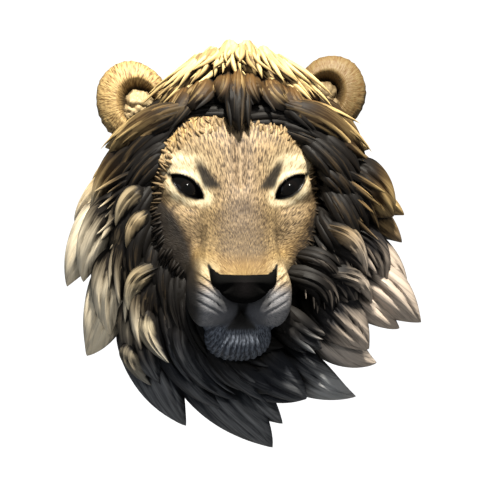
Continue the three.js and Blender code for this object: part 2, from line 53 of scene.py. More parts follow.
def vary(i, key):
    """Seeded variation between 0 and 1, the same on every run."""
    value = math.sin(i * 12.9898 + key * 78.233 + 4.1) * 43758.5453
    return value - math.floor(value)


def ease(value, low, high):
    """0 below low, 1 above high, and a soft step between."""
    t = np.clip((value - low) / (high - low), 0, 1)
    return t * t * (3 - 2 * t)


def bump_at(value, centre, width):
    """A bell of height 1 about a centre."""
    return np.exp(-(((value - centre) / width) ** 2))


def blend(a, b, share):
    """Mixes two colours, or arrays of them, by a share."""
    share = np.asarray(share)[..., None]
    return np.asarray(a) * (1 - share) + np.asarray(b) * share


# Paint, as the screen's red, green and blue from 0 to 255

def paint(red, green, blue):
    screen = np.array([red, green, blue]) / 255
    return np.where(screen < 0.04045, screen / 12.92, ((screen + 0.055) / 1.055) ** 2.4)


TAN = paint(176, 151, 112)
TAN_DARK = paint(66, 51, 34)
GOLD = paint(198, 168, 112)
GOLD_DARK = paint(104, 76, 38)
CREAM = paint(236, 222, 186)
CREAM_DARK = paint(186, 160, 116)
ASH = paint(162, 161, 164)
ASH_DARK = paint(104, 106, 112)
SLATE = paint(124, 132, 146)
SLATE_DARK = paint(44, 49, 60)
UMBER = paint(84, 66, 44)
UMBER_DARK = paint(26, 20, 14)
BLACK = paint(9, 9, 9)
WEDGE = paint(38, 33, 27)
BACK = paint(44, 36, 27)


# Rough distances to soft forms

def smooth_min(a, b, k):
    share = np.clip(0.5 + 0.5 * (b - a) / k, 0, 1)
    return b + (a - b) * share - k * share * (1 - share)


def smooth_cut(a, b, k):
    return -smooth_min(-a, b, k)


def ellipsoid(p, centre, radii):
    offset = p - np.array(centre, float)
    radii = np.array(radii, float)
    near = np.linalg.norm(offset / radii, axis=-1)
    slope = np.linalg.norm(offset / radii**2, axis=-1)
    return near * (near - 1) / np.maximum(slope, 1e-9)


def pillow(p, centre, radii, power):
    share = np.abs(p - np.array(centre, float)) / np.array(radii, float)
    return (np.sum(share**power, axis=-1) ** (1 / power) - 1) * min(radii)


def capsule(p, start, end, radius_start, radius_end):
    start = np.array(start, float)
    axis = np.array(end, float) - start
    t = np.clip((p - start) @ axis / (axis @ axis), 0, 1)
    radius = radius_start + (radius_end - radius_start) * t
    return np.linalg.norm(p - start - t[..., None] * axis, axis=-1) - radius


# The eye: corners and bulge of the lid opening, and the ball behind it
EYE_INNER = np.array([26.5, 33.5])
EYE_OUTER = np.array([49.0, 50.5])
LID_RISE = 6.2
LID_DROP = 6.2
EYE_BALL = np.array([37.5, 41.5, 61.0])
EYE_RADIUS = 15.6
LID_THICKNESS = 2.4
EYE_MIDDLE = (EYE_INNER + EYE_OUTER) / 2
EYE_HALF = np.linalg.norm(EYE_OUTER - EYE_INNER) / 2
EYE_AXIS = (EYE_OUTER - EYE_INNER) / (2 * EYE_HALF)


def lid_line(count, swell=0.0):
    """Points of the lid opening, going round from the inner corner over the top."""
    turn = np.pi - 2 * np.pi * np.arange(count) / count
    along = (EYE_HALF + swell) * np.cos(turn)
    rise = np.where(turn > 0, LID_RISE + swell, -LID_DROP - swell)
    across = np.abs(np.sin(turn)) ** 1.6 * rise
    x = EYE_MIDDLE[0] + along * EYE_AXIS[0] - across * EYE_AXIS[1]
    z = EYE_MIDDLE[1] + along * EYE_AXIS[1] + across * EYE_AXIS[0]
    return x, z


def lid_gap(x, z):
    """Rough distance from the lid opening's edge, below zero inside it. x is 0 at the middle of the face."""
    out, up = np.abs(x) - EYE_MIDDLE[0], z - EYE_MIDDLE[1]
    along = out * EYE_AXIS[0] + up * EYE_AXIS[1]
    across = -out * EYE_AXIS[1] + up * EYE_AXIS[0]
    open_share = np.clip(1 - (along / EYE_HALF) ** 2, 0, 1) ** 0.8
    inside = np.maximum(across - LID_RISE * open_share, -LID_DROP * open_share - across)
    beyond = np.hypot(np.maximum(np.abs(along) - EYE_HALF, 0), across)
    return np.where(np.abs(along) < EYE_HALF, inside, beyond)


def face_field(point):
    """Distance to the face, below zero inside it. Points are x, z and h before the face is turned."""
    x, z, h = point[..., 0], point[..., 1], point[..., 2]
    p = np.stack([np.abs(x), z, h], -1)
    d = ellipsoid(p, (0, 46, 18), (70, 66, 64))  # skull
    d = smooth_min(d, ellipsoid(p, (22, 70, 52), (30, 26, 28)), 16)  # forehead
    d = smooth_min(d, ellipsoid(p, (40, 60, 54), (20, 9, 18)), 10)  # brow
    d = smooth_min(d, ellipsoid(p, (40, 6, 38), (27, 38, 34)), 18)  # cheekbone
    down = np.clip((60 - z) / 82, 0, 1)
    bridge = np.stack([p[..., 0] * (0.98 - 0.16 * down), z, h], -1)
    d = smooth_min(d, capsule(bridge, (0, 60, 62), (0, -22, 89), 24, 22.5), 12)  # bridge of the nose
    d = smooth_min(d, ellipsoid(p, (38, 22, 50), (19, 15, 21)), 12)  # below the eye
    d = smooth_min(d, ellipsoid(p, (46, 50, 33), (22, 36, 26)), 10)  # temple
    d = smooth_min(d, ellipsoid(p, (0, -36, 20), (50, 44, 32)), 12)  # jaw
    d = smooth_min(d, ellipsoid(p, (50, 5, 12), (38, 66, 34)), 16)  # side of the head
    d = smooth_min(d, pillow(p, (0, -24, 64), (35, 25, 38), 2.1), 12)  # muzzle
    d = smooth_min(d, pillow(p, (0, -66, 66), (24.5, 19, 29), 2.3), 4)  # chin
    d = smooth_min(d, pillow(p, (18.5, -36.5, 76), (19.5, 25, 31), 2.35), 2.5)  # whisker pad
    d = smooth_cut(d, capsule(p, (24, 41, 88), (33, 58, 84), 3, 2), 5)  # furrow over the inner eye corner
    d = smooth_cut(d, capsule(p, (0, 44, 90), (0, 100, 81), 0.6, 2.6), 9)  # groove of the forehead
    d = smooth_cut(d, capsule(p, (24, -20, 106), (27, -11, 101), 2, 1), 2)  # flick over the nose's corner
    d = smooth_cut(d, capsule(p, (0, -38, 114), (0, -60, 104), 1.3, 1.8), 3)  # split of the lip
    ball = np.linalg.norm(p - EYE_BALL, axis=-1) - EYE_RADIUS
    return smooth_min(d, ball - LID_THICKNESS, 4)  # lids, drawn over the ball


# The face turns a few degrees towards +x about an upright axis inside the head.
FACE_YAW = math.radians(7)
YAW_AXIS_H = 30
FACE_SHIFT = -7


def face_place(points):
    x, z, h = points[..., 0], points[..., 1], points[..., 2] - YAW_AXIS_H
    c, s = math.cos(FACE_YAW), math.sin(FACE_YAW)
    return np.stack([c * x + s * h + FACE_SHIFT, z, -s * x + c * h + YAW_AXIS_H], -1)


# Meshes. Each has the same painted layers at its corners, so that they can be joined into one casting:
# "flow" runs across and along the hair in millimetres, "base" is the undercoat with its roughness,
# and "brushed" is the paint brushed over it with how much of it there is.

FUR, HAIR, GLOSS, LEATHER = range(4)


def mesh_piece(name, points, corners, layers, material):
    """A mesh from points in millimetres, corner numbers per face, and layers that have one row per corner."""
    mesh = bpy.data.meshes.new(name)
    sizes = np.array([len(face) for face in corners], dtype=np.int32)
    flat = np.concatenate([np.asarray(face) for face in corners]).astype(np.int32)
    mesh.vertices.add(len(points))
    mesh.loops.add(len(flat))
    mesh.polygons.add(len(sizes))
    mesh.vertices.foreach_set("co", to_world(np.asarray(points)).astype(np.float32).ravel())
    mesh.loops.foreach_set("vertex_index", flat)
    starts = np.concatenate([[0], np.cumsum(sizes)[:-1]]).astype(np.int32)
    mesh.polygons.foreach_set("loop_start", starts)
    mesh.polygons.foreach_set("material_index", np.full(len(sizes), material, dtype=np.int32))
    flow = mesh.uv_layers.new(name="flow")
    flow.uv.foreach_set("vector", layers["flow"].astype(np.float32).ravel())
    for layer in ("base", "brushed"):
        colours = mesh.color_attributes.new(layer, "FLOAT_COLOR", "CORNER")
        colours.data.foreach_set("color", layers[layer].astype(np.float32).ravel())
    mesh.update()
    mesh.validate()
    for finish in MATERIALS:
        mesh.materials.append(finish)
    piece = bpy.data.objects.new(name, mesh)
    bpy.context.scene.collection.objects.link(piece)
    turn_outward(mesh)
    return piece


def turn_outward(mesh):
    """Turns a closed mesh round if its faces look inward."""
    shape = bmesh.new()
    shape.from_mesh(mesh)
    if shape.calc_volume(signed=True) < 0:
        bmesh.ops.reverse_faces(shape, faces=shape.faces)
        shape.to_mesh(mesh)
    shape.free()


def skin_rings(name, start, rings, end, layers, material):
    """Skins rings of points and draws each end to a point. Layers have a row for each ring and each end,
    and one more column than a ring has points."""
    count, around = rings.shape[0], rings.shape[1]
    points = np.concatenate([[start], rings.reshape(-1, 3), [end]])
    k = np.arange(around)
    after = (k + 1) % around
    wide = around + 1
    last = len(points) - 1
    corners = [np.stack([np.zeros_like(k), 1 + k, 1 + after], -1)]
    places = [np.stack([k, wide + k, wide + k + 1], -1)]
    for i in range(count - 1):
        a = 1 + i * around
        b = a + around
        corners.append(np.stack([a + k, b + k, b + after, a + after], -1))
        row = (i + 1) * wide
        places.append(np.stack([row + k, row + wide + k, row + wide + k + 1, row + k + 1], -1))
    rim = 1 + (count - 1) * around
    row = count * wide
    corners.append(np.stack([rim + k, np.full_like(k, last), rim + after], -1))
    places.append(np.stack([row + k, row + wide + k, row + k + 1], -1))
    faces = [face for block in corners for face in block]
    order = np.concatenate([block.ravel() for block in places])
    at_corners = {layer: grid.reshape(-1, grid.shape[-1])[order] for layer, grid in layers.items()}
    return mesh_piece(name, points, faces, at_corners, material)


def closed_columns(grid):
    """Repeats the first column of a grid after its last."""
    return np.concatenate([grid, grid[:, :1]], axis=1)


def plain_layers(shape, base, roughness, brushed, amount):
    """Layers of even paint over a grid of a shape."""
    under = np.concatenate([np.asarray(base), [roughness]])
    over = np.concatenate([np.asarray(brushed), [amount]])
    rows, columns = np.meshgrid(np.arange(shape[0]), np.arange(shape[1]), indexing="ij")
    return {
        "flow": np.stack([columns * 1.0, rows * 1.0], -1),
        "base": np.tile(under, (*shape, 1)),
        "brushed": np.tile(over, (*shape, 1)),
    }


def star_surface(field, origin, pole, rings, spokes, reach, widest):
    """Pulls rings and spokes round a pole in to a field's surface. Returns points, directions and turns."""
    pole = np.array(pole, float) / np.linalg.norm(pole)
    right = np.array([1.0, 0.0, 0.0])
    up = np.cross(pole, right)
    up *= np.sign(up[1]) / np.linalg.norm(up)
    tilt = widest * np.linspace(0, 1, rings + 1)
    turn = 2 * np.pi * np.arange(spokes) / spokes - np.pi
    tilt, turn = np.meshgrid(tilt, turn, indexing="ij")
    around = np.cos(turn)[..., None] * up + np.sin(turn)[..., None] * right
    directions = np.cos(tilt)[..., None] * pole + np.sin(tilt)[..., None] * around
    origin = np.array(origin, float)
    outside = np.full(tilt.shape, float(reach))
    inside = outside.copy()
    found = np.zeros(tilt.shape, bool)
    for _ in range(60):
        gap = field(origin + directions * inside[..., None])
        found |= gap < 0
        outside = np.where(found, outside, inside)
        inside = np.where(found, inside, np.maximum(inside - np.maximum(gap * 0.7, 0.4), 0))
    for _ in range(12):
        middle = (inside + outside) / 2
        within = field(origin + directions * middle[..., None]) < 0
        inside = np.where(within, middle, inside)
        outside = np.where(within, outside, middle)
    return origin + directions * ((inside + outside) / 2)[..., None], directions, turn


# The face's finer carving

FACE_ORIGIN = (0, 0, 30)
FACE_POLE = (0, -0.35, 1)
FACE_TILT = 1.55
FACE_REACH = 135
FACE_BACK = np.array([0.0, 30.0, -20.0])  # where the skin of the face closes inside the mane
FACE_RINGS = 128
FACE_SPOKES = 288
FUR_ROOT = np.array([0.0, -26.0, 92.0])  # the hair of the face points away from here
WHISKER_START, WHISKER_END = 13.0, 36.0  # how far out from the middle the grooves run
WHISKER_LINES = [(-36.5, -19.5), (-42.5, -26.0), (-48.0, -32.5), (-53.0, -39.5)]  # their heights at both ends
CHIN_ROOT = (0.0, -42.0)
CHIN_GROOVES = 60


def whisker_grooves(x, z, h):
    """Depth of the grooves that run up and out over each whisker pad, from 0 to 1."""
    along = (np.abs(x) - WHISKER_START) / (WHISKER_END - WHISKER_START)
    window = ease(along, 0, 0.2) * (1 - ease(along, 0.72, 1.02))
    depth = np.zeros_like(x)
    for i, (inner, outer) in enumerate(WHISKER_LINES):
        line = inner + (outer - inner) * along + 0.9 * np.sin(np.pi * along) + 0.3 * np.sin(9 * along + 2 * i)
        depth = np.maximum(depth, bump_at(z - line, 0, 0.8) * window * (1 - 0.14 * i))
    return depth * ease(h, 66, 78)


def chin_grooves(x, z, h):
    """Grooves that fan down over the chin, from 0 on the ridges to 1."""
    turn = np.arctan2(x - CHIN_ROOT[0], -(z - CHIN_ROOT[1]))
    distance = np.hypot(x - CHIN_ROOT[0], z - CHIN_ROOT[1])
    wave = np.cos(turn * CHIN_GROOVES + 1.0 * np.sin(distance * 0.4) + 1.4 * np.sin(turn * 11))
    on_chin = ease(-z, 57, 62) * ease(h, 52, 66) * (1 - ease(np.abs(x), 26, 31))
    return (0.5 + 0.5 * wave) ** 1.5 * on_chin


def brow_creases(x, z, h):
    """Creases over and under each eye and beside the muzzle."""
    side = np.abs(x)
    over_eye = bump_at(z - 66 + 0.02 * (side - 36) ** 2, 0, 1.6)
    over_eye = over_eye * ease(side, 22, 30) * (1 - ease(side, 46, 56))
    under_eye = bump_at(z - 26 - 0.35 * (side - 36) - 0.02 * (side - 36) ** 2, 0, 1.5)
    under_eye = under_eye * ease(side, 27, 33) * (1 - ease(side, 42, 52))
    muzzle_edge = bump_at(side - 29 + 0.012 * (z + 6) ** 2, 0, 1.8)
    muzzle_edge = muzzle_edge * ease(z, -22, -12) * (1 - ease(z, 4, 14))
    return 0.8 * over_eye + 0.8 * under_eye + 0.6 * muzzle_edge


def short_fur(x, z, h):
    """Low tufts of the short fur, between -1 and 1."""
    away = np.stack([x, z, h], -1) - FUR_ROOT
    turn = np.arctan2(away[..., 0], away[..., 1])
    row = np.log(np.maximum(np.linalg.norm(away, axis=-1), 12) / 20)
    return np.sin(turn * 47 + 2.1 * np.sin(row * 17)) * np.sin(row * 52 + 2.6 * np.sin(turn * 19))


def face_detail(x, z, h):
    """How far the fine carving lowers or raises the face, in millimetres."""
    clear_of_eye = ease(lid_gap(x, z), 2, 7)
    furry = clear_of_eye * ease(z, -24, -8)
    shaggy = ease(np.hypot(x, z - 22), 48, 74)
    relief = -1.3 * whisker_grooves(x, z, h)
    relief = relief - 1.3 * chin_grooves(x, z, h)
    relief = relief - 0.8 * brow_creases(x, z, h) * clear_of_eye
    return relief + short_fur(x, z, h) * furry * (0.16 + 0.34 * shaggy)


# Paint of the face

def face_tones(x, z, h):
    """Base and brushed paint, roughness and amount, over the face, with painted shade down its sides and
    under the nose.
    """
    side = np.abs(x)
    shape = x.shape
    light = np.tile(TAN, (*shape, 1))
    dark = np.tile(TAN_DARK, (*shape, 1))
    rough = np.full(shape, 0.66)
    amount = np.full(shape, 0.56)

    outer = ease(np.hypot(x / 62, (z - 40) / 54), 0.82, 1.05)
    light, dark = blend(light, GOLD, outer), blend(dark, GOLD_DARK, outer)
    bridge_side = bump_at(side, 20, 8) * ease(z, -30, -10) * (1 - ease(z, 22, 40))
    light = blend(light, GOLD, 0.3 * bridge_side)
    arch = bump_at(z - 27 + 0.024 * x**2, 0, 6) * (1 - ease(side, 16, 26))
    amount = amount - 0.30 * arch
    parting = bump_at(x, 0, 0.9) * ease(z, 30, 38) * (1 - ease(z, 66, 74))
    light, dark = blend(light, CREAM, 0.3 * parting), blend(dark, CREAM_DARK, 0.35 * parting)
    middle = bump_at(x, 0, 13) * ease(z, 0, 24) * (1 - ease(z, 74, 92))
    light = blend(light, paint(164, 142, 116), 0.7 * middle)
    low_bridge = (1 - ease(side, 14, 24)) * ease(z, -24, -12) * (1 - ease(z, 8, 26))
    amount = amount - 0.18 * middle - 0.36 * low_bridge

    cream = np.exp(-(((side - 41) / 13.5) ** 2) - ((z - 59 - 0.12 * (side - 41)) / 7.6) ** 2)
    cream = np.maximum(cream, bump_at(lid_gap(x, z), 3.4, 3.2) * 0.85)
    cream = np.clip(cream * 1.25, 0, 1) * ease(h, 40, 55)
    light, dark = blend(light, CREAM, cream), blend(dark, CREAM_DARK, cream)
    amount = amount + 0.30 * cream

    # The dark wedge over the inner eye corner is partly a dark marking and partly painted shadow in the
    # furrow there.
    wedge_line = np.abs(side - 24.8 - 0.55 * (z - 50)) - 0.2 * (62 - z)
    wedge = (1 - ease(wedge_line, 0.6, 3.2)) * ease(z, 37, 43) * (1 - ease(z, 55, 64))
    light, dark = blend(light, WEDGE, 0.96 * wedge), blend(dark, WEDGE * 0.6, 0.96 * wedge)

    pad = ease(-z, 6, 20) * (1 - ease(-z, 62, 66)) * ease(h, 52, 66)
    milky = pad * (1 - ease(-z, 20, 34)) * ease(side, 14, 24)
    light, dark = blend(light, CREAM, 0.75 * milky), blend(dark, CREAM_DARK, 0.5 * milky)
    # The lower pads are painted ash grey: pale fur partly greyed as painted shade under the nose.
    pale = pad * ease(-z, 22, 38)
    light, dark = blend(light, ASH, pale), blend(dark, ASH_DARK, pale)
    # Painted shade on the inner halves of the lower pads under the nose, reaching further out on the left.
    pad_shade = pale * (1 - ease(side, 12, 27 - 5 * np.sign(x)))
    light = blend(light, SLATE_DARK, 0.75 * pad_shade)
    amount = amount + 0.10 * pale
    grooves = whisker_grooves(x, z, h)
    amount = amount - 0.85 * grooves
    dark = blend(dark, BLACK, 0.7 * grooves)

    # The chin is painted cool slate: pale fur with the painted shade that falls under the muzzle.
    chin = ease(-z, 56, 61) * ease(h, 50, 60)
    light, dark = blend(light, SLATE, chin), blend(dark, SLATE_DARK, chin)
    amount = amount - 0.75 * chin_grooves(x, z, h) * chin + 0.16 * chin

    split = 1 - ease(side - 1.2 - 0.8 * np.maximum(-z - 50, 0), 0, 3.5)
    split = split * ease(-z, 36, 42) * (1 - ease(-z, 60, 64)) * ease(h, 60, 75)
    # nose_shade is painted shadow that the nose casts onto the muzzle below it.
    nose_shade = (1 - ease(side, 15, 25)) * ease(-z, 34, 38) * (1 - ease(-z, 40, 52)) * ease(h, 70, 85)
    flick = 1 - ease(capsule(np.stack([side, z], -1), (22, -23), (24.6, -15.2), 1.6, 0.4), 0, 1.2)
    black = np.clip(split + 0.75 * nose_shade + flick * ease(h, 70, 85), 0, 1)

    rim = 1 - ease(lid_gap(x, z), 0.4, 1.6)
    wing = capsule(np.stack([side, z], -1), (48, 49), (51.5, 52), 1.4, 0.5)
    lined = np.maximum(rim, 1 - ease(wing, 0, 1.4)) * ease(h, 40, 52)
    black = np.maximum(black, lined)
    light, dark = blend(light, BLACK, black), blend(dark, BLACK, black)
    rough = rough - 0.34 * lined

    # Painted shade down the sides of the face: near black beyond the lit half on the left, and on the right a
    # darker brown that is partly the fur's colour and partly painted shade.
    lit_half = np.interp(z, [-20, 0, 20, 37, 55, 75], [31, 35, 46, 58, 68, 80])
    shade = np.where(x < 0, ease(side - lit_half, -5, 4), ease(side - lit_half, -1, 13))
    far = np.where((x < 0)[..., None], paint(22, 17, 12), paint(116, 93, 63))
    light, dark = blend(light, far, 0.94 * shade), blend(dark, UMBER_DARK * 0.5, 0.95 * shade)
    amount = amount - np.where(x < 0, 0.5, 0.25) * shade
    jaw = ease(-z, 30, 60) * (1 - ease(h, 44, 62))
    light, dark = blend(light, UMBER_DARK, jaw), blend(dark, BLACK, jaw)
    return light, dark, rough, np.clip(amount, 0, 1)


def face_layers(points):
    """Layers of a face grid whose last column repeats its first."""
    x, z, h = points[..., 0], points[..., 1], points[..., 2]
    light, dark, rough, amount = face_tones(x, z, h)
    return {
        "base": np.concatenate([dark, rough[..., None]], -1),
        "brushed": np.concatenate([light, amount[..., None]], -1),
    }


FUR_SPACING = 72


def face_flow(points, turn):
    """Across and along the fur, growing with the distance from the nose."""
    away = np.linalg.norm(points - FUR_ROOT, axis=-1)
    return np.stack([turn * FUR_SPACING, np.log(np.maximum(away, 6) / 20) * FUR_SPACING], -1)


def make_face():
    points, directions, turn = star_surface(
        face_field, FACE_ORIGIN, FACE_POLE, FACE_RINGS, FACE_SPOKES, FACE_REACH, FACE_TILT
    )
    relief = face_detail(points[..., 0], points[..., 1], points[..., 2])
    points = points + directions * relief[..., None]
    closing = np.tile(FACE_BACK, (1, FACE_SPOKES, 1))
    grid = closed_columns(np.concatenate([points, closing]))
    turns = np.concatenate([turn, turn[:, :1] + 2 * np.pi], axis=1)
    turns = np.concatenate([turns, turns[:1]])
    layers = face_layers(grid)
    layers["flow"] = face_flow(grid, turns)
    placed = face_place(points)
    return skin_rings("face", placed[0, 0], placed[1:], face_place(FACE_BACK), layers, FUR)


def ball_centre(side):
    return EYE_BALL * (side, 1, 1)


def make_eye_cut(side):
    """The almond that opens the lids, from inside the ball outwards."""
    x, z = lid_line(56)
    deep = np.stack([side * x, z, np.full_like(x, EYE_BALL[2])], -1)
    forward = np.array([0, 0, 3 * EYE_RADIUS])
    rings = face_place(np.stack([deep, deep + forward]))
    start, end = face_place(ball_centre(side)), face_place(ball_centre(side) + forward)
    layers = plain_layers((4, rings.shape[1] + 1), BLACK, 0.3, BLACK, 0)
    return skin_rings("lid_cut", start, rings, end, layers, GLOSS)


IRIS_RADIUS = 6.2
PUPIL_RADIUS = 3.0
IRIS = paint(15, 13, 12)
GAZE = np.array([0.02, -0.05, 1.0])


def make_eyeball(side):
    """A glossy ball with a dark iris, its pole towards the viewer."""
    tilt = np.linspace(0.02, np.pi - 0.02, 40)
    turn = 2 * np.pi * np.arange(48) / 48
    tilt, turn = np.meshgrid(tilt, turn, indexing="ij")
    gaze = GAZE / np.linalg.norm(GAZE)
    right = np.array([1.0, 0.0, 0.0]) - gaze * gaze[0]
    right /= np.linalg.norm(right)
    up = np.cross(gaze, right)
    ball = np.cos(tilt)[..., None] * gaze
    ball = ball + np.sin(tilt)[..., None] * (np.cos(turn)[..., None] * up + np.sin(turn)[..., None] * right)
    centre = ball_centre(side)
    grid = closed_columns(np.concatenate([ball[:1], ball, ball[-1:]]))
    out = EYE_RADIUS * np.arccos(np.clip(grid @ gaze, -1, 1))
    iris = ease(out, PUPIL_RADIUS - 0.5, PUPIL_RADIUS + 0.5)
    iris = iris * (1 - ease(out, IRIS_RADIUS - 0.5, IRIS_RADIUS + 0.5))
    layers = plain_layers(out.shape, BLACK, 0.07, BLACK, 0)
    layers["base"][..., :3] = blend(np.tile(BLACK, (*out.shape, 1)), IRIS, iris)
    start, end = face_place(centre + gaze * EYE_RADIUS), face_place(centre - gaze * EYE_RADIUS)
    return skin_rings("eyeball", start, face_place(centre + ball * EYE_RADIUS), end, layers, GLOSS)


def make_lid_rim(side):
    """The black rim that follows the lid opening over the ball, thin at its corners."""
    count = 64
    x, z = lid_line(count, 0.2)
    drop = EYE_RADIUS**2 - (x - EYE_BALL[0]) ** 2 - (z - EYE_BALL[1]) ** 2
    path = np.stack([side * x, z, EYE_BALL[2] + np.sqrt(np.maximum(drop, 9)) + 0.9], -1)
    along = np.roll(path, -1, 0) - np.roll(path, 1, 0)
    along /= np.linalg.norm(along, axis=1, keepdims=True)
    outward = path - ball_centre(side)
    outward /= np.linalg.norm(outward, axis=1, keepdims=True)
    across = np.cross(along, outward)
    radius = 0.7 + 0.5 * np.abs(np.sin(np.pi - 2 * np.pi * np.arange(count) / count))
    return make_loop("lid_rim", face_place(path), across, outward, radius, BLACK, 0.28)


def make_loop(name, path, across, outward, radius, tone, roughness):
    """A closed tube round a loop."""
    sides = 8
    turn = 2 * np.pi * np.arange(sides) / sides
    ring = np.cos(turn)[None, :, None] * across[:, None] + np.sin(turn)[None, :, None] * outward[:, None]
    points = (path[:, None] + ring * radius[:, None, None]).reshape(-1, 3)
    count = len(path)
    faces = []
    for i in range(count):
        for k in range(sides):
            a, b = i * sides, (i + 1) % count * sides
            faces.append((a + k, b + k, b + (k + 1) % sides, a + (k + 1) % sides))
    corners = 4 * len(faces)
    layers = plain_layers((corners, 1), tone, roughness, tone, 0)
    layers = {layer: grid.reshape(corners, -1) for layer, grid in layers.items()}
    return mesh_piece(name, points, faces, layers, GLOSS)


# The nose leather

NOSE_ORIGIN = (0, -30, 97)
NOSE_BACK = np.array([0.0, -30.0, 84.0])


def nose_field(point):
    """Distance to the nose leather: a rounded wedge, wide at the top, with a nostril in each side."""
    x, z, h = point[..., 0], point[..., 1], point[..., 2]
    side = np.abs(x)
    top = (z + 21.2 - 5.6 * ease(side, 17, 25)) * 0.9
    flank = (side - 24.2 + 0.03 * np.minimum(z + 22, 0) ** 2) * 0.8
    low = (-42.5 + 0.02 * side**2 - z) * 0.9
    slope = 0.010 * side**2 + 0.36 * np.maximum(-27 - z, 0) + 0.25 * np.maximum(z + 27, 0)
    front = (h - (115.6 - slope)) * 0.95
    d = smooth_cut_join(smooth_cut_join(smooth_cut_join(top, flank, 2), low, 5), front, 5)
    d = np.maximum(d, 86 - h)
    p = np.stack([side, z, h], -1)
    d = smooth_cut(d, capsule(p, (10.5, -31, 116.5), (20, -34, 108), 3.3, 2.0), 1.5)
    return smooth_cut(d, capsule(p, (0, -34, 116), (0, -46, 112), 0.7, 1.1), 1.5)


def smooth_cut_join(a, b, k):
    """What two forms have in common, with a rounded edge."""
    return -smooth_min(-a, -b, k)


def make_nose():
    rings, spokes = 64, 120
    points, directions, _ = star_surface(nose_field, NOSE_ORIGIN, (0, 0.1, 1), rings, spokes, 34, 2.6)
    pebble = np.sin(points[..., 0] * 4.1 + 2 * np.sin(points[..., 1] * 1.3)) * np.sin(points[..., 1] * 4.4)
    points = points + directions * (0.12 * pebble)[..., None]
    grid = closed_columns(np.concatenate([points, np.tile(NOSE_BACK, (1, spokes, 1))]))
    layers = plain_layers(grid.shape[:2], BLACK, 0.9, BLACK, 0)
    # A faint grey patch low on the front of the nose is a painted highlight.
    nose_highlight = bump_at(grid[..., 0], 0, 6) * bump_at(grid[..., 1], -31, 6) * ease(grid[..., 2], 104, 110)
    layers["base"][..., :3] = blend(np.tile(BLACK, (*nose_highlight.shape, 1)), paint(78, 72, 74), 0.12 * nose_highlight)
    layers["flow"] = grid[..., :2].copy()
    placed = face_place(points)
    return skin_rings("nose", placed[0, 0], placed[1:], face_place(NOSE_BACK), layers, LEATHER)


# The mane is laid out round its centre by angle, clockwise from the top, and by radius.
MANE_CENTRE = np.array([-2.0, 10.0])

REACH = [
    (-180, 157), (-165, 149), (-148, 142), (-130, 145), (-108, 133), (-88, 123), (-64, 113), (-50, 112),
    (-25, 116), (0, 130), (25, 120), (49, 114), (64, 116), (84, 124), (109, 132), (117, 148), (135, 141),
    (150, 147), (171, 160), (180, 157),
]
FACE_EDGE = [
    (-180, 78), (-150, 66), (-120, 58), (-90, 66), (-60, 76), (-30, 84), (0, 84),
    (30, 86), (60, 79), (90, 65), (120, 57), (150, 66), (180, 78),
]
DRIFT = [
    (-180, -38), (-150, -32), (-120, -34), (-90, -38), (-60, -44), (-25, -36), (0, 0), (25, 36),
    (60, 40), (85, 26), (100, 24), (115, 8), (133, 2), (148, -14), (168, -30), (180, -38),
]


def read_table(table, angle):
    wrapped = (angle + 540) % 360 - 180
    return np.interp(wrapped, [row[0] for row in table], [row[1] for row in table])


def polar(angle, radius, h):
    turn = np.radians(angle)
    x = MANE_CENTRE[0] + radius * np.sin(turn)
    z = MANE_CENTRE[1] + radius * np.cos(turn)
    return np.stack([x, z, np.broadcast_to(h, np.shape(x))], -1)


# What a lock has unless it says otherwise. bow and hook bend it sideways in degrees, flick raises its tip
# and roll turns its face. strand is the spacing of its grooves, groove their depth and bundle its number of
# ragged strands. root_brush is the share of paint at its root, brush_from where the rest sets in, change how
# much it varies, lit the least of it, raised as painted light, and cream its share of cream.
PLAIN_LOCK = {
    "bow": 0, "hook": 0, "flick": 0, "roll": 0, "strand": 12, "groove": 0.2, "bundle": 0,
    "root_brush": 0.1, "brush_from": (0.35, 0.9), "change": 0.8, "lit": 0, "cream": 0,
}


def lock_of(start, end, width, thickness, seed, **traits):
    """A lock between two ends, each an angle, a radius and a rise. traits hold at least lift, lean, brush."""
    ends = {"from": start, "to": end, "width": width, "thickness": thickness, "seed": seed}
    return {**PLAIN_LOCK, **ends, **traits}


# The long locks that draw the outline: angle and reach of the tip, drift, width, sideways bow and hook
OUTER_LOCKS = [
    (171, 163, -42, 56, 0, 12), (167, 147, -30, 42, 0, 4), (-165, 150, -40, 55, 4, 8),
    (144.5, 151, -29, 42, -5, -8), (133.5, 142, -4, 40, 0, -8), (116.5, 152, 8, 46, -3, -6),
    (121, 140, 5, 30, 0, -3), (108.5, 133, 18, 32, 0, 0), (94, 122, 22, 30, 0, 0),
    (84.5, 124, 20, 30, 0, 0), (70, 114, 28, 32, 0, 0), (58, 115, 28, 34, 0, 0),
    (47, 118, 22, 34, 0, 0), (-129.5, 146, -32, 44, -2, 8), (-108, 134, -44, 46, -2, 0),
    (-87, 122, -40, 32, 0, 0), (-71, 115, -36, 34, 0, 0), (-58, 117, -28, 34, 0, 0),
    (-47, 118, -22, 34, 0, 0),
]
OUTER_ROOT_RADIUS = 70
OUTER_ROOT_H = 20
OUTER_TIP_H = 6
OUTER_THICKNESS = 15


def outer_lock(i, row):
    angle, reach, drift, width, bow, hook = row
    start, end = (angle - drift, OUTER_ROOT_RADIUS, OUTER_ROOT_H), (angle, reach, OUTER_TIP_H)
    return lock_of(
        start, end, width, OUTER_THICKNESS, i, bow=bow, hook=hook, lift=12, flick=3, lean=0.4,
        roll=0.25 if drift > 0 else 0.1, brush=1.1, strand=7 if width < 36 else 9, groove=0.26, change=0.3,
        brush_from=(0.2, 0.7),
    )


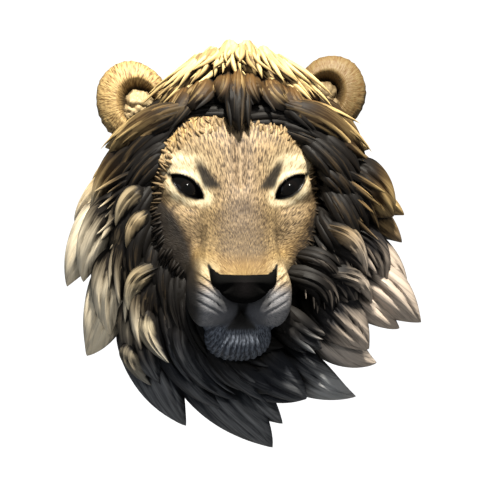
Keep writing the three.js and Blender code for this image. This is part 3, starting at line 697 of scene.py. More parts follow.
# The tiers between face and outline. root and tip are shares of the way out, and h is the rise at each end.
TIERS = [
    {"count": 13, "root": 0.1, "tip": 0.78, "root_h": 34, "tip_h": 24, "width": 44, "thickness": 15,
     "lift": 14, "key": 20, "brush": 0.85, "bundle": 0},
    {"count": 17, "root": -0.02, "tip": 0.52, "root_h": 46, "tip_h": 38, "width": 32, "thickness": 13,
     "lift": 12, "key": 40, "brush": 0.65, "bundle": 4},
    {"count": 25, "root": -0.14, "tip": 0.3, "root_h": 55, "tip_h": 50, "width": 20, "thickness": 10,
     "lift": 10, "key": 60, "brush": 0.45, "bundle": 4},
]
PARTING = 24  # the tiers stop short of the crest by this angle on each side


def tier_lock(tier, i):
    def chance(n):
        return vary(i, tier["key"] + n)

    def between(angle, share):
        edge = read_table(FACE_EDGE, angle)
        return edge + (read_table(REACH, angle) - edge) * share

    angle = PARTING + (360 - 2 * PARTING) * (i + 0.5) / tier["count"] + 8 * (chance(0) - 0.5)
    drift = read_table(DRIFT, angle) * (0.8 + 0.4 * chance(1))
    side = 1 if drift >= 0 else -1
    share = tier["tip"] + 0.16 * (chance(2) - 0.5)
    start = (angle - drift, between(angle - drift, tier["root"]), tier["root_h"])
    end = (angle, between(angle, share), tier["tip_h"] + 6 * (chance(3) - 0.5))
    return lock_of(
        start, end, tier["width"] * (0.8 + 0.4 * chance(4)), tier["thickness"], tier["key"] + i,
        bow=-6 * side * chance(5), hook=-side * (14 * chance(6) - 4), lift=tier["lift"], flick=6, lean=0.5,
        roll=0.6 * side * (chance(9) - 0.2), brush=tier["brush"], groove=0.3, strand=9, bundle=tier["bundle"],
    )


# Rows of locks that fall forward over the crown. The last is the tuft on the forehead.
FORELOCKS = [
    {"count": 6, "root_fan": 16, "tip_fan": 40, "droop": 9, "root": 133.4, "tip": 111, "root_h": 25,
     "tip_h": 60, "width": 28, "thickness": 12, "key": 80, "brush": 1.0, "bundle": 7, "root_brush": 0.85},
    {"count": 6, "root_fan": 24, "tip_fan": 48, "droop": 6, "root": 112, "tip": 92, "root_h": 50,
     "tip_h": 74, "width": 23, "thickness": 9, "key": 90, "brush": 0.5, "bundle": 6, "root_brush": 0.15},
    {"count": 1, "root_fan": 0, "tip_fan": 0, "droop": 0, "root": 110, "tip": 68, "root_h": 60,
     "tip_h": 82, "width": 20, "thickness": 11, "key": 95, "brush": 0.7, "bundle": 5, "root_brush": 0.15},
]


def fore_lock(row, i):
    across = (i + 0.5) / row["count"] * 2 - 1
    fall = abs(across)
    tip = row["tip"] + 5 * vary(i, row["key"]) - 4 * fall
    start = (across * row["root_fan"], row["root"] - row["droop"] * fall, row["root_h"])
    end = (across * row["tip_fan"], tip, row["tip_h"] - 10 * fall)
    return lock_of(
        start, end, row["width"], row["thickness"], row["key"] + i, hook=14 * across, lift=8, lean=1.4,
        roll=0.3 * across, brush=row["brush"], bundle=row["bundle"], root_brush=row["root_brush"],
    )


def taper(t):
    """A share of a lock's full width or thickness, from root to tip."""
    return (1 - t**3.2) * (0.55 + 0.45 * np.sin(np.minimum(t / 0.45, 1) * np.pi / 2))


def lock_path(lock, t):
    (a0, r0, h0), (a1, r1, h1) = lock["from"], lock["to"]
    sway = lock["bow"] * np.sin(np.pi * t) + lock["hook"] * (t**3 - t)
    angle = a0 + (a1 - a0) * t + sway
    h = h0 + (h1 - h0) * t + lock["lift"] * np.sin(np.pi * t**0.9) + lock["flick"] * t**4
    return polar(angle, r0 + (r1 - r0) * t, h)


def unit(vectors):
    return vectors / np.maximum(np.linalg.norm(vectors, axis=-1, keepdims=True), 1e-9)


def lock_frames(lock, t):
    """Centre, the directions across and out of a lock's face, and its half width and thickness along it."""
    centre = lock_path(lock, t)
    along = unit(lock_path(lock, t + 1e-3) - lock_path(lock, np.maximum(t - 1e-3, 0)))
    out = np.zeros_like(centre)
    out[:, :2] = unit(centre[:, :2] - MANE_CENTRE) * lock["lean"]
    out[:, 2] = 1
    out = unit(out - along * np.sum(out * along, -1, keepdims=True))
    across = np.cross(along, out)
    turn = (lock["roll"] * t)[:, None]
    normal = out * np.cos(turn) + across * np.sin(turn)
    width = across * np.cos(turn) - out * np.sin(turn)
    return centre, width, normal, lock["width"] / 2 * taper(t) + 0.2, lock["thickness"] * taper(t) ** 0.7


def make_lock(lock, steps=26, column=2.1):
    """One lock of hair: a crowned blade with grooves along it, swept along a curving path."""
    t = 1 - (1 - np.arange(steps) / steps) ** 1.15
    centre, width, normal, half, thick = lock_frames(lock, t)
    tops = int(np.clip(round(lock["width"] / column), 4, 24))
    u = np.linspace(-1, 1, tops + 1)
    crown, relief = lock_section(lock, t, u)
    ends = lock_path(lock, np.array([0.0, 1.0]))
    return sweep_blade(lock, t, centre, ends, width, normal, half, thick, u, crown, relief)


def sweep_blade(lock, t, centre, ends, width, normal, half, thick, u, crown, relief):
    """Skins a blade from its frames, with its face across u and a rounded underside."""
    unders = max(1, (len(u) - 1) // 4)
    v = np.linspace(1, -1, unders + 2)[1:-1]
    top_rise = thick[:, None] * (crown + relief * crown**0.4)
    under_rise = -0.5 * thick[:, None] * (1 - v**2) ** 0.6
    rise = np.concatenate([top_rise, under_rise], axis=1)
    reach = np.concatenate([u, v])[None] * half[:, None]
    rings = centre[:, None] + width[:, None] * reach[..., None] + normal[:, None] * rise[..., None]
    path = np.concatenate([ends[:1], centre, ends[1:]])
    layers = lock_layers(lock, t, u, v, half, path, crown, relief)
    return skin_rings("lock", ends[0], rings, ends[1], layers, HAIR)


STRAND_STEPS = 11
STRAND_ACROSS = np.linspace(-1, 1, 6)


def strand_path(lock, i, count, t):
    """Path of one strand of a lock that ends ragged, with the lock's frame along it."""
    seed = lock["seed"] * 7 + i
    place = (i + 0.5) / count * 2 - 1
    reach = 0.8 + 0.28 * vary(seed, 61) - 0.1 * abs(place)
    along = np.minimum(t * reach, 1)
    centre, width, normal, _, _ = lock_frames(lock, np.minimum(along, 0.999))
    half = lock["width"] / 2 * (0.55 + 0.45 * np.sin(np.minimum(along / 0.45, 1) * np.pi / 2))
    half = half * (1 - 0.5 * along**3)
    curl = (0.5 * place + vary(seed, 62) - 0.5) * 0.3 * lock["width"] * t**3
    sideways = 0.82 * place * half + curl
    crown = lock["thickness"] * (0.62 * (1 - place**2) - 0.05 + 0.14 * vary(seed, 63))
    rise = crown * (1 - 0.5 * t**2) + lock["thickness"] * 0.4 * vary(seed, 64) * t**4
    return centre + width * sideways[:, None] + normal * rise[:, None], width, normal


def make_strand(lock, i, count):
    """One strand of a lock: a thin ridge with its own tip."""
    seed = lock["seed"] * 7 + i
    t = 1 - (1 - np.arange(STRAND_STEPS) / STRAND_STEPS) ** 1.1
    path, width, normal = strand_path(lock, i, count, np.concatenate([t, [1.0]]))
    centre, width, normal = path[:-1], width[:-1], normal[:-1]
    along = unit(path[1:] - path[:-1])
    normal = unit(normal - along * np.sum(normal * along, -1, keepdims=True))
    width = np.cross(along, normal)
    size = lock["width"] / count
    half = size * (0.62 + 0.3 * vary(seed, 65)) * taper(t) + 0.12
    thick = size * 0.75 * taper(t) ** 0.7
    crown = np.tile((1 - np.abs(STRAND_ACROSS) ** 2) ** 0.7, (len(t), 1))
    strand = dict(lock, seed=seed, brush=lock["brush"] * (0.75 + 0.6 * vary(seed, 66)))
    ends = path[[0, -1]]
    return sweep_blade(strand, t, centre, ends, width, normal, half, thick, STRAND_ACROSS, crown, 0 * crown)


def make_bundle(lock):
    """A lock with a ragged end: a short body under a row of strands."""
    body = make_lock(dict(lock, brush=0.5 * lock["brush"]), steps=12, column=4.0)
    return [body, *(make_strand(lock, i, lock["bundle"]) for i in range(lock["bundle"]))]


def lock_section(lock, t, u):
    """Crown of a lock's face across it, and the grooves cut into it, as shares of its thickness."""
    seed = lock["seed"]
    skew = 0.5 * (vary(seed, 3) - 0.5)
    bent = np.clip(u + skew * (1 - u**2), -1, 1)
    crown = (1 - np.abs(bent) ** 2.2) ** 0.75
    crown = np.tile(crown, (len(t), 1))
    strands = max(2, round(lock["width"] / lock["strand"]))
    sway = 0.5 * np.sin(2.6 * t + 6.3 * vary(seed, 1)) + 0.8 * (vary(seed, 2) - 0.5)
    phase = np.pi * (strands * u[None] / 2 * (1 - 0.25 * t[:, None]) + sway[:, None])
    groove = np.abs(np.sin(phase)) ** 0.7
    fine = 0.5 + 0.5 * np.cos(2.7 * phase + 3 * t[:, None])
    fade = 1 - np.abs(u[None]) ** 4
    depth = lock["groove"] * (0.6 + 0.4 * np.sin(np.pi * t))[:, None]
    return crown, fade * depth * (groove - 1 - 0.18 * fine)


def lock_tones(centre):
    """Paint of the mane by where it is: golden crest, cream left with painted light, ash right, and dark
    below and near the face with painted shade.
    """
    offset = centre[..., :2] - MANE_CENTRE
    angle = np.degrees(np.arctan2(offset[..., 0], offset[..., 1]))
    radius = np.linalg.norm(offset, axis=-1)
    size = np.abs(angle)
    light = np.tile(paint(178, 146, 98), (*angle.shape, 1))
    dark = np.tile(paint(26, 20, 14), (*angle.shape, 1))
    crest = (1 - 0.4 * ease(size, 30, 52) - 0.6 * ease(size, 76, 92)) * ease(radius, 92, 108)
    light = blend(light, paint(236, 208, 146), crest)
    dark = blend(dark, paint(96, 70, 36), crest)
    # The outer locks on the left are painted bright cream, partly pale paint and partly a painted pool of
    # light.
    left = ease(-angle, 66, 86) * (1 - ease(-angle, 132, 144)) * ease(radius, 76, 104)
    light = blend(light, paint(255, 240, 210), left)
    right = ease(angle, 86, 104) * (1 - ease(angle, 138, 156))
    light = blend(light, paint(212, 196, 180), right)
    # Below, the locks are painted a cool dark slate: their dark paint with painted shade, darker and cooler
    # towards the bottom.
    low = ease(size, 132, 150)
    light = blend(light, paint(176, 178, 180), low)
    dark = blend(dark, paint(34, 37, 44), np.maximum(low, 0.5 * right))
    # tip_light is a painted highlight on the tips of the lower right locks.
    tip_light = ease(radius, 116, 138) * bump_at(angle, 146, 11)
    amount = 0.46 - 0.12 * low + 0.5 * crest + 1.15 * left
    amount = amount + right * ease(radius, 84, 108) + 1.3 * tip_light
    # Near the face the mane is painted near black with little brushed paint: dark paint with painted shade
    # under the overhanging locks.
    inner = 1 - ease(radius - read_table(FACE_EDGE, angle), 12, 44)
    inner = inner * (1 - 0.7 * crest)
    return light, blend(dark, paint(13, 10, 8), inner), amount * (1 - 0.92 * inner)


def lock_layers(lock, t, u, v, half, path, crown, relief):
    """Layers of a lock. Its brushed paint lies on the ridges and towards the tip, and stays off the rest."""
    rows = np.concatenate([[0.0], t, [1.0]])
    length = np.concatenate([[0.0], np.cumsum(np.linalg.norm(np.diff(path, axis=0), axis=1))])
    light, dark, amount = lock_tones(path)
    half = np.concatenate([half[:1], half, [0.4]])
    across = np.concatenate([u, v, [u[0]]])
    around = np.concatenate([u, 2 - v, [3.0]])
    top = np.concatenate([crown, np.zeros((len(t), len(v) + 1))], axis=1)
    cut = np.concatenate([relief, np.full((len(t), len(v) + 1), -0.3)], axis=1)
    top = np.concatenate([top[:1], top, top[-1:]])
    cut = np.concatenate([cut[:1], cut, cut[-1:]])
    ridge = np.clip(0.25 + 0.9 * top, 0, 1) * np.clip(1.1 + 2.4 * cut, 0, 1.1)
    root = lock["root_brush"]
    towards_tip = root + (1 - root) * ease(rows, *lock["brush_from"])
    mood = lock["brush"] * (1 + lock["change"] * (vary(lock["seed"], 11) - 0.6))
    amount = np.maximum(amount, lock["lit"])
    light = blend(light, CREAM, lock["cream"])
    share = amount[:, None] * towards_tip[:, None] * ridge * mood
    grid = (len(rows), len(across))
    under, over = (np.broadcast_to(colour[:, None], (*grid, 3)) for colour in (dark, light))
    sideways = around[None] * half[:, None] + 37 * lock["seed"]
    return {
        "flow": np.stack([sideways, np.tile(length[:, None], (1, grid[1]))], -1),
        "base": np.concatenate([under, np.full((*grid, 1), 0.5)], -1),
        "brushed": np.concatenate([over, np.clip(share, 0, 1)[..., None]], -1),
    }


# Two long rolls of hair that run down beside the parting, over the tiers
ROLLS = [
    lock_of((-25, 94, 66), (-61, 110, 44), 24, 12, 201, bow=3, lift=6, flick=-4, lean=0.9, roll=-0.4,
            brush=1.1, bundle=6, lit=0.55),
    lock_of((22, 95, 66), (59, 109, 44), 24, 12, 202, bow=-3, lift=6, flick=-4, lean=0.9, roll=0.4,
            brush=1.0, bundle=6, lit=0.5),
]
CREST_STRANDS = 34
CHEEK_STRANDS = 33  # on each side


def crest_strand(i):
    """A thin strand that falls over the crest."""
    across = (i + 0.5) / CREST_STRANDS * 2 - 1
    fall = abs(across)
    tip_angle = across * 38 + 7 * (vary(i, 2) - 0.5)
    start = (across * 17, 137 - 8 * fall, 30 + 3 * vary(i, 1))
    end = (tip_angle, 112 - 3 * fall + 11 * vary(i, 3), 64 - 12 * fall + 3 * vary(i, 4))
    return lock_of(
        start, end, 3.6 + 2.4 * vary(i, 5), 2.8, 300 + i, bow=5 * (vary(i, 6) - 0.5), hook=12 * across,
        lift=12.5, flick=1, lean=1.4, roll=0.3 * across, brush=1.1, groove=0.12, root_brush=0.9,
    )


def cheek_strand(i, side):
    """A fine strand that runs from the cheek out over the mane."""
    row, place = i % 3, i // 3
    angle = 60 + 6.4 * place + 3 * vary(i, 21 + side)
    edge = read_table(FACE_EDGE, side * angle)
    length = 15 + 9 * vary(i, 22) + 4 * row
    root = edge * (0.86 + 0.09 * row)
    start = (side * (angle - 8), root, 50 + 4 * row)
    end = (side * (angle + 9 + 5 * vary(i, 23)), root + length, 62 - 5 * row)
    # The right cheek's strands carry more brushed paint than the left's, as painted light on that side.
    return lock_of(
        start, end, 3.6 + 2.6 * vary(i, 24), 3, 400 + i + 50 * side, hook=-5 * side * vary(i, 25),
        lift=7, flick=4, lean=0.8, roll=0.2 * side, brush=0.9, groove=0.15, lit=0.5 if side > 0 else 0.12,
    )


# Ears: thick round shells leaning out, each with a cup hollowed in the front and a tuft of hair in it
EARS = [
    # tone scales each ear's brushed paint; the right ear's lower tone is painted shade.
    {"x": -79.5, "z": 104.5, "width": 54, "height": 63, "lean": -20, "tone": 1.0},
    {"x": 66, "z": 111, "width": 52, "height": 58, "lean": 20, "tone": 0.36},
]
EAR_RISE = 27
EAR_THICKNESS = 26
EAR_CUP_DARK, EAR_CUP = paint(52, 37, 20), paint(150, 120, 76)
TUFT_DARK, TUFT = paint(92, 70, 42), paint(232, 208, 160)
TUFTS = 11  # puffs of hair in each ear


def rounded(name, centre, radii, lean, rings, spokes, layers_of, lumps=0.0, seed=0):
    """A rounded mass given by its centre and radii as x, z and h, leaning over by an angle."""
    tilt = np.linspace(0, np.pi, rings + 2)
    turn = 2 * np.pi * np.arange(spokes + 1) / spokes
    tilt, turn = np.meshgrid(tilt, turn, indexing="ij")
    ball = np.stack([np.sin(tilt) * np.cos(turn), np.sin(tilt) * np.sin(turn), np.cos(tilt)], -1)
    wave = np.sin(5 * ball[..., 0] + 3 * seed) * np.sin(6 * ball[..., 1] + seed)
    wave = wave * np.cos(5 * ball[..., 2] - seed)
    ball_out = ball * (1 + lumps * wave)[..., None] * np.array(radii, float)
    lean = math.radians(lean)
    x = ball_out[..., 0] * math.cos(lean) + ball_out[..., 1] * math.sin(lean)
    z = -ball_out[..., 0] * math.sin(lean) + ball_out[..., 1] * math.cos(lean)
    points = np.stack([x, z, ball_out[..., 2]], -1) + np.array(centre, float)
    return skin_rings(name, points[0, 0], points[1:-1, :-1], points[-1, 0], layers_of(ball), HAIR)


def make_ear(index, spec):
    """A furry shell with a soft thick rim round a cup, filled below with tufts."""
    spokes = 72
    out = np.concatenate([np.linspace(0.04, 1, 30), np.linspace(0.94, 0.2, 6)])
    is_back = np.arange(len(out)) >= 30
    turn = 2 * np.pi * np.arange(spokes + 1) / spokes
    out, turn = np.meshgrid(out, turn, indexing="ij")
    a, b = out * np.sin(turn), out * np.cos(turn)
    inward = -np.sign(spec["x"])
    half_width, half_height = spec["width"] / 2, spec["height"] / 2
    cup_across = (a * half_width - 4 * inward) / (0.56 * half_width)
    cup_along = (b * half_height + 3) / (0.62 * half_height)
    cup = np.hypot(cup_across, cup_along)
    hollow = 1 - ease(cup, 0.3, 1.15)
    edge = np.sqrt(np.maximum(1 - out**2.6, 0))
    fur = np.sin(turn * 61 + 2 * np.sin(out * 23)) * np.sin(out * 34 + 2.3 * np.sin(turn * 17))
    fur = fur * ease(out, 0.35, 0.7)
    rise = np.where(is_back[:, None], -edge, edge - 1.6 * hollow) * EAR_THICKNESS / 2
    swell = 1 + 0.012 * fur + 0.012 * np.sin(turn * 43)
    lean = math.radians(spec["lean"])
    flat_x, flat_z = a * swell * half_width, b * swell * half_height
    x = spec["x"] + flat_x * math.cos(lean) + flat_z * math.sin(lean)
    z = spec["z"] - flat_x * math.sin(lean) + flat_z * math.cos(lean)
    points = np.stack([x, z, EAR_RISE + rise + 0.35 * fur], -1)
    start = np.array([spec["x"], spec["z"], EAR_RISE - 0.6 * EAR_THICKNESS / 2])
    end = np.array([spec["x"], spec["z"], EAR_RISE - EAR_THICKNESS / 2])
    hollow = np.concatenate([hollow[:1], hollow, hollow[-1:]])
    layers = plain_layers(hollow.shape, GOLD_DARK, 0.6, GOLD * spec["tone"], 0.66)
    # The cup is painted a darker brown, partly as painted shade in the hollow.
    layers["base"][..., :3] = blend(layers["base"][..., :3], EAR_CUP_DARK, 0.7 * hollow)
    layers["brushed"][..., :3] = blend(layers["brushed"][..., :3], EAR_CUP, 0.7 * hollow)
    layers["brushed"][..., 3] -= 0.25 * hollow
    around = np.concatenate([turn[:1], turn, turn[-1:]])
    outward = np.concatenate([out[:1], out, out[-1:]])
    layers["flow"] = np.stack([around * 22, outward * 24], -1)
    shell = skin_rings("ear", start, points[:, :-1], end, layers, FUR)
    return join_all([shell, *(make_tuft(index, spec, i) for i in range(TUFTS))])


def make_tuft(index, spec, i):
    """One puff of the hair that fills the lower part of an ear."""
    inward = -np.sign(spec["x"])
    turn = 2.4 * i
    spread = 2.6 * math.sqrt(i)
    x = spec["x"] + 5 * inward + spread * math.cos(turn)
    z = spec["z"] + 1 - 1.5 * i + spread * math.sin(turn)
    size = 9.0 - 0.42 * i
    centre = (x, z, EAR_RISE + 4 + 1.5 * vary(i, 31))

    def layers_of(ball):
        layers = plain_layers(ball.shape[:2], TUFT_DARK, 0.6, TUFT * spec["tone"], 0.7)
        layers["flow"] = np.stack([ball[..., 0] * 9 + 11 * i, ball[..., 1] * 9], -1)
        return layers

    radii = (size, size * 0.9, size)
    return rounded("ear_tuft", centre, radii, 40 * i, 16, 24, layers_of, 0.16, i + 3 * index)


def straight_lock(root, tip, root_h, tip_h, width, thickness, seed):
    """A plain short lock between two places given as x and z."""
    ends = []
    for place, h in ((root, root_h), (tip, tip_h)):
        offset = place - MANE_CENTRE
        ends.append([math.degrees(math.atan2(offset[0], offset[1])), float(np.hypot(*offset)), h])
    if ends[1][0] - ends[0][0] > 180:
        ends[1][0] -= 360
    if ends[1][0] - ends[0][0] < -180:
        ends[1][0] += 360
    return lock_of(*ends, width, thickness, seed, lift=1.5, lean=0.6, brush=1.0, groove=0.05)


# Pale tufts that stand out of the dark mane, their pale paint partly painted light: root and tip as x and z,
# width, sideways bow and share of cream
PALE_TUFTS = [
    ((-72, 38), (-91, 13), 16, 3, 0.5), ((-68, 21), (-83, -3), 14, 3, 0.4),
    ((-60, -16), (-82, -48), 18, 3, 0.5), ((-69, -48), (-52, -87), 19, 3, 0.5),
    ((-80, -74), (-66, -104), 17, 3, 0.4), ((64, 12), (92, -22), 18, -3, 0.1),
    ((66, -20), (96, -44), 16, -3, 0.1),
]


def pale_tuft(i, row, rise):
    """A tuft that lies on the mane; rise gives the height of the mane at x and z."""
    root, tip, width, bow, cream = row
    middle = np.add(root, tip) / 2
    root_h, tip_h = rise(*root) - 6, rise(*tip) - 1
    lock = straight_lock(np.array(root), np.array(tip), root_h, tip_h, width, 8, 500 + i)
    lift = max(2.0, rise(*middle) - 1 - (root_h + tip_h) / 2)
    traits = {"bow": bow, "hook": -bow, "lift": lift, "flick": 2, "groove": 0.34, "strand": 4}
    return {**lock, **traits, "lit": 0.62, "cream": cream, "brush_from": (0.1, 0.6), "change": 0.3}


# The body that carries the mane: a low dome, and the crown of the head under the crest
DOME_INSET = 48
DOME_EDGE = 5
DOME_TOP = 50
CROWN_CENTRE = (-3, 103, 17)
CROWN_RADII = (54, 41, 42)


def dark_hair(shape):
    """Layers of bare undercoat with little brushed over it."""
    return plain_layers(shape, UMBER_DARK, 0.6, UMBER, 0.1)


def make_dome():
    spokes, rings = 60, 8
    angle = 360 * np.arange(spokes) / spokes - 180
    reach = read_table(REACH, angle) - DOME_INSET
    grid = [polar(angle, reach, -1.0)]
    for i in range(rings):
        share = 1 - i / rings
        rise = DOME_EDGE + (DOME_TOP - DOME_EDGE) * (1 - share**3) ** 0.9
        grid.append(polar(angle, reach * share, rise))
    start, end = np.array([*MANE_CENTRE, -1.0]), np.array([*MANE_CENTRE, float(DOME_TOP)])
    return skin_rings("dome", start, np.array(grid), end, dark_hair((len(grid) + 2, spokes + 1)), HAIR)


def make_crown():
    return rounded("crown", CROWN_CENTRE, CROWN_RADII, 0, 16, 28, lambda ball: dark_hair(ball.shape[:2]))


# Fringe of short fur where the face meets the mane
FRINGE_COUNT = 240
FRINGE_END = 128  # the angle to which it runs down each side


def make_fringe(surface):
    """Short spikes that stand out from the edge of the face; surface gives the rise at x and z."""
    spikes = []
    for i in range(FRINGE_COUNT):
        row = i % 3
        angle = -FRINGE_END + 2 * FRINGE_END * (i + 1.6 * (vary(i, 51) - 0.5)) / FRINGE_COUNT
        edge = float(read_table(FACE_EDGE, angle))
        start = edge * (0.84 + 0.05 * row + 0.05 * vary(i, 52) - 0.06 * float(ease(abs(angle), 36, 56)))
        at_side = float(ease(abs(angle), 40, 60))
        root = polar(angle, start, 0.0)
        length = 4.5 + 4.5 * vary(i, 53) + 2 * at_side
        droop = 5 * np.sign(angle) * ease(abs(angle), 40, 80) + 5 * (vary(i, 54) - 0.5)
        tip = polar(angle + droop, start + length, 0.0)
        root_h = surface(root[0], root[1])
        tip_h = surface(tip[0], tip[1])
        tip_h = max(tip_h + 1.2 + 3.5 * float(ease(abs(angle), 40, 70)), root_h - 10)
        width = 2.2 - 0.7 * at_side + 0.8 * vary(i, 55)
        spike = straight_lock(root[:2], tip[:2], root_h - 3.0, tip_h, width, 1.7, 600 + i)
        spikes.append((spike, angle))
    return spikes


def fringe_layers(piece, angle):
    """Paints a spike tan on the forehead, near black down the shaded cheek and grey brown down the other."""
    share = float(ease(abs(angle), 45, 85))
    far = UMBER_DARK if angle < 0 else paint(146, 122, 88)
    light, dark = blend(TAN, far, share), blend(TAN_DARK, UMBER_DARK * 0.6, share)
    for layer, colour, last in (("base", dark, 0.6), ("brushed", light, 0.7 - 0.35 * share)):
        data = piece.data.color_attributes[layer].data
        data.foreach_set("color", np.tile([*colour, last], (len(data), 1)).astype(np.float32).ravel())


# Joining

def apply_boolean(piece, other, operation):
    """Joins or cuts a piece with another and removes the other."""
    modifier = piece.modifiers.new("join", "BOOLEAN")
    modifier.operation = operation
    modifier.solver = "MANIFOLD"
    modifier.object = other
    shapes = bpy.context.evaluated_depsgraph_get()
    mesh = bpy.data.meshes.new_from_object(piece.evaluated_get(shapes))
    piece.modifiers.clear()
    piece.data = mesh
    bpy.data.objects.remove(other)


def join_all(pieces):
    """Joins pieces in pairs until one is left."""
    while len(pieces) > 1:
        joined = []
        for i in range(0, len(pieces) - 1, 2):
            apply_boolean(pieces[i], pieces[i + 1], "UNION")
            joined.append(pieces[i])
        if len(pieces) % 2:
            joined.append(pieces[-1])
        pieces = joined
    return pieces[0]


def box_piece(low, high):
    """A plain box between two corners given as x, z and h."""
    (x0, z0, h0), (x1, z1, h1) = low, high
    points = [(x, z, h) for h in (h0, h1) for z in (z0, z1) for x in (x0, x1)]
    faces = [(0, 1, 3, 2), (4, 6, 7, 5), (0, 4, 5, 1), (2, 3, 7, 6), (0, 2, 6, 4), (1, 5, 7, 3)]
    layers = plain_layers((24, 1), BACK, 0.7, BACK, 0)
    layers = {layer: grid.reshape(24, -1) for layer, grid in layers.items()}
    return mesh_piece("box", points, faces, layers, HAIR)


def rod_piece(radius, x, z, low, high):
    """A round rod that stands on the wall, between two rises."""
    turn = 2 * np.pi * np.arange(40) / 40
    ring = np.stack([x + radius * np.cos(turn), z + radius * np.sin(turn)], -1)
    rings = np.array([[(*place, h) for place in ring] for h in (low, high)])
    layers = plain_layers((4, 41), BACK, 0.7, BACK, 0)
    return skin_rings("rod", np.array([x, z, low]), rings, np.array([x, z, high]), layers, HAIR)


# Keyhole pocket in the back, in millimetres
SCREW_HEAD_BORE = 11
SHANK_SLOT = 5.5
SLOT_TRAVEL = 12
POCKET_LIP = 4
POCKET_DEPTH = 11
HANGER_RISE = 62
WALL_SPARE = 300


def cut_back(piece):
    """Cuts the flat back and the keyhole pocket."""
    wall = box_piece((-WALL_SPARE, -WALL_SPARE, -WALL_SPARE), (WALL_SPARE, WALL_SPARE, 0))
    apply_boolean(piece, wall, "DIFFERENCE")
    top = HANGER_RISE + SLOT_TRAVEL
    apply_boolean(piece, rod_piece(SCREW_HEAD_BORE / 2, 0, HANGER_RISE, -1, POCKET_DEPTH), "DIFFERENCE")
    slots = ((SHANK_SLOT, -1, POCKET_LIP + 0.5), (SCREW_HEAD_BORE, POCKET_LIP, POCKET_DEPTH))
    for width, low, high in slots:
        box = box_piece((-width / 2, HANGER_RISE, low), (width / 2, top, high))
        apply_boolean(piece, box, "DIFFERENCE")
        apply_boolean(piece, rod_piece(width / 2, 0, top, low, high), "DIFFERENCE")


def keep_outer_shell(mesh):
    """Keeps the largest shell. The others are hollows closed in among the locks, and specks."""
    shape = bmesh.new()
    shape.from_mesh(mesh)
    shape.verts.ensure_lookup_table()
    group = np.full(len(shape.verts), -1)
    sizes = []
    for seed in shape.verts:
        if group[seed.index] >= 0:
            continue
        waiting = [seed]
        group[seed.index] = len(sizes)
        count = 0
        while waiting:
            vertex = waiting.pop()
            count += 1
            for edge in vertex.link_edges:
                other = edge.other_vert(vertex)
                if group[other.index] < 0:
                    group[other.index] = len(sizes)
                    waiting.append(other)
        sizes.append(count)
    largest = int(np.argmax(sizes))
    loose = [vertex for vertex in shape.verts if group[vertex.index] != largest]
    bmesh.ops.delete(shape, geom=loose, context="VERTS")
    shape.to_mesh(mesh)
    shape.free()


# How shut in each point is, for the dark wash and the painted shade that settle in the recesses

SEARCH = 0.028  # metres
SEARCH_START = 0.0006  # metres off the surface
SEARCH_RAYS = 16


def measure_recess(mesh):
    """Writes the share of rays round each point that meet the carving close by, as the attribute recess."""
    shape = bmesh.new()
    shape.from_mesh(mesh)
    tree = BVHTree.FromBMesh(shape)
    golden = math.pi * (3 - math.sqrt(5))
    shares = [(i + 0.5) / SEARCH_RAYS for i in range(SEARCH_RAYS)]
    spread = [(math.sqrt(1 - share), i * golden, math.sqrt(share)) for i, share in enumerate(shares)]
    values = np.zeros(len(shape.verts))
    for i, vertex in enumerate(shape.verts):
        normal = vertex.normal
        side = normal.orthogonal().normalized()
        other = normal.cross(side)
        origin = vertex.co + normal * SEARCH_START
        blocked = 0.0
        for up, turn, flat in spread:
            direction = normal * up + (side * math.cos(turn) + other * math.sin(turn)) * flat
            hit = tree.ray_cast(origin, direction, SEARCH)
            if hit[0] is not None:
                blocked += 1 - 0.6 * hit[3] / SEARCH
        values[i] = blocked / SEARCH_RAYS
    shape.free()
    layer = mesh.attributes.new("recess", "FLOAT", "POINT")
    layer.data.foreach_set("value", values.astype(np.float32))


# Materials

def new_material(name):
    material = bpy.data.materials.new(name)
    material.use_nodes = True
    tree = material.node_tree
    return material, tree, tree.nodes["Principled BSDF"]


def add_node(tree, kind, **settings):
    node = tree.nodes.new(kind)
    for key, value in settings.items():
        setattr(node, key, value)
    return node


def calculate(tree, operation, a, b, clamp=False):
    """A math node on two values or outputs."""
    node = add_node(tree, "ShaderNodeMath", operation=operation, use_clamp=clamp)
    for socket, value in zip(node.inputs, (a, b)):
        if isinstance(value, (int, float)):
            socket.default_value = value
        else:
            tree.links.new(value, socket)
    return node.outputs[0]


def mix_colours(tree, share, a, b):
    node = add_node(tree, "ShaderNodeMix", data_type="RGBA")
    tree.links.new(share, node.inputs[0])
    for socket, value in ((node.inputs[6], a), (node.inputs[7], b)):
        if isinstance(value, tuple):
            socket.default_value = value
        else:
            tree.links.new(value, socket)
    return node.outputs[2]


def flow_noise(tree, across, along, detail, offset):
    """Noise drawn out along the hair, with its spacing per millimetre across and along."""
    flow = add_node(tree, "ShaderNodeUVMap", uv_map="flow")
    place = add_node(tree, "ShaderNodeMapping")
    place.inputs["Scale"].default_value = (across, along, 1)
    place.inputs["Location"].default_value = (offset, offset, offset)
    noise = add_node(tree, "ShaderNodeTexNoise")
    noise.inputs["Scale"].default_value = 1
    noise.inputs["Detail"].default_value = detail
    noise.inputs["Roughness"].default_value = 0.6
    tree.links.new(flow.outputs["UV"], place.inputs["Vector"])
    tree.links.new(place.outputs["Vector"], noise.inputs["Vector"])
    return noise.outputs["Fac"]


def layer_of(tree, name):
    node = add_node(tree, "ShaderNodeAttribute", attribute_name=name)
    return node.outputs["Color"], node.outputs["Alpha"], node.outputs["Fac"]


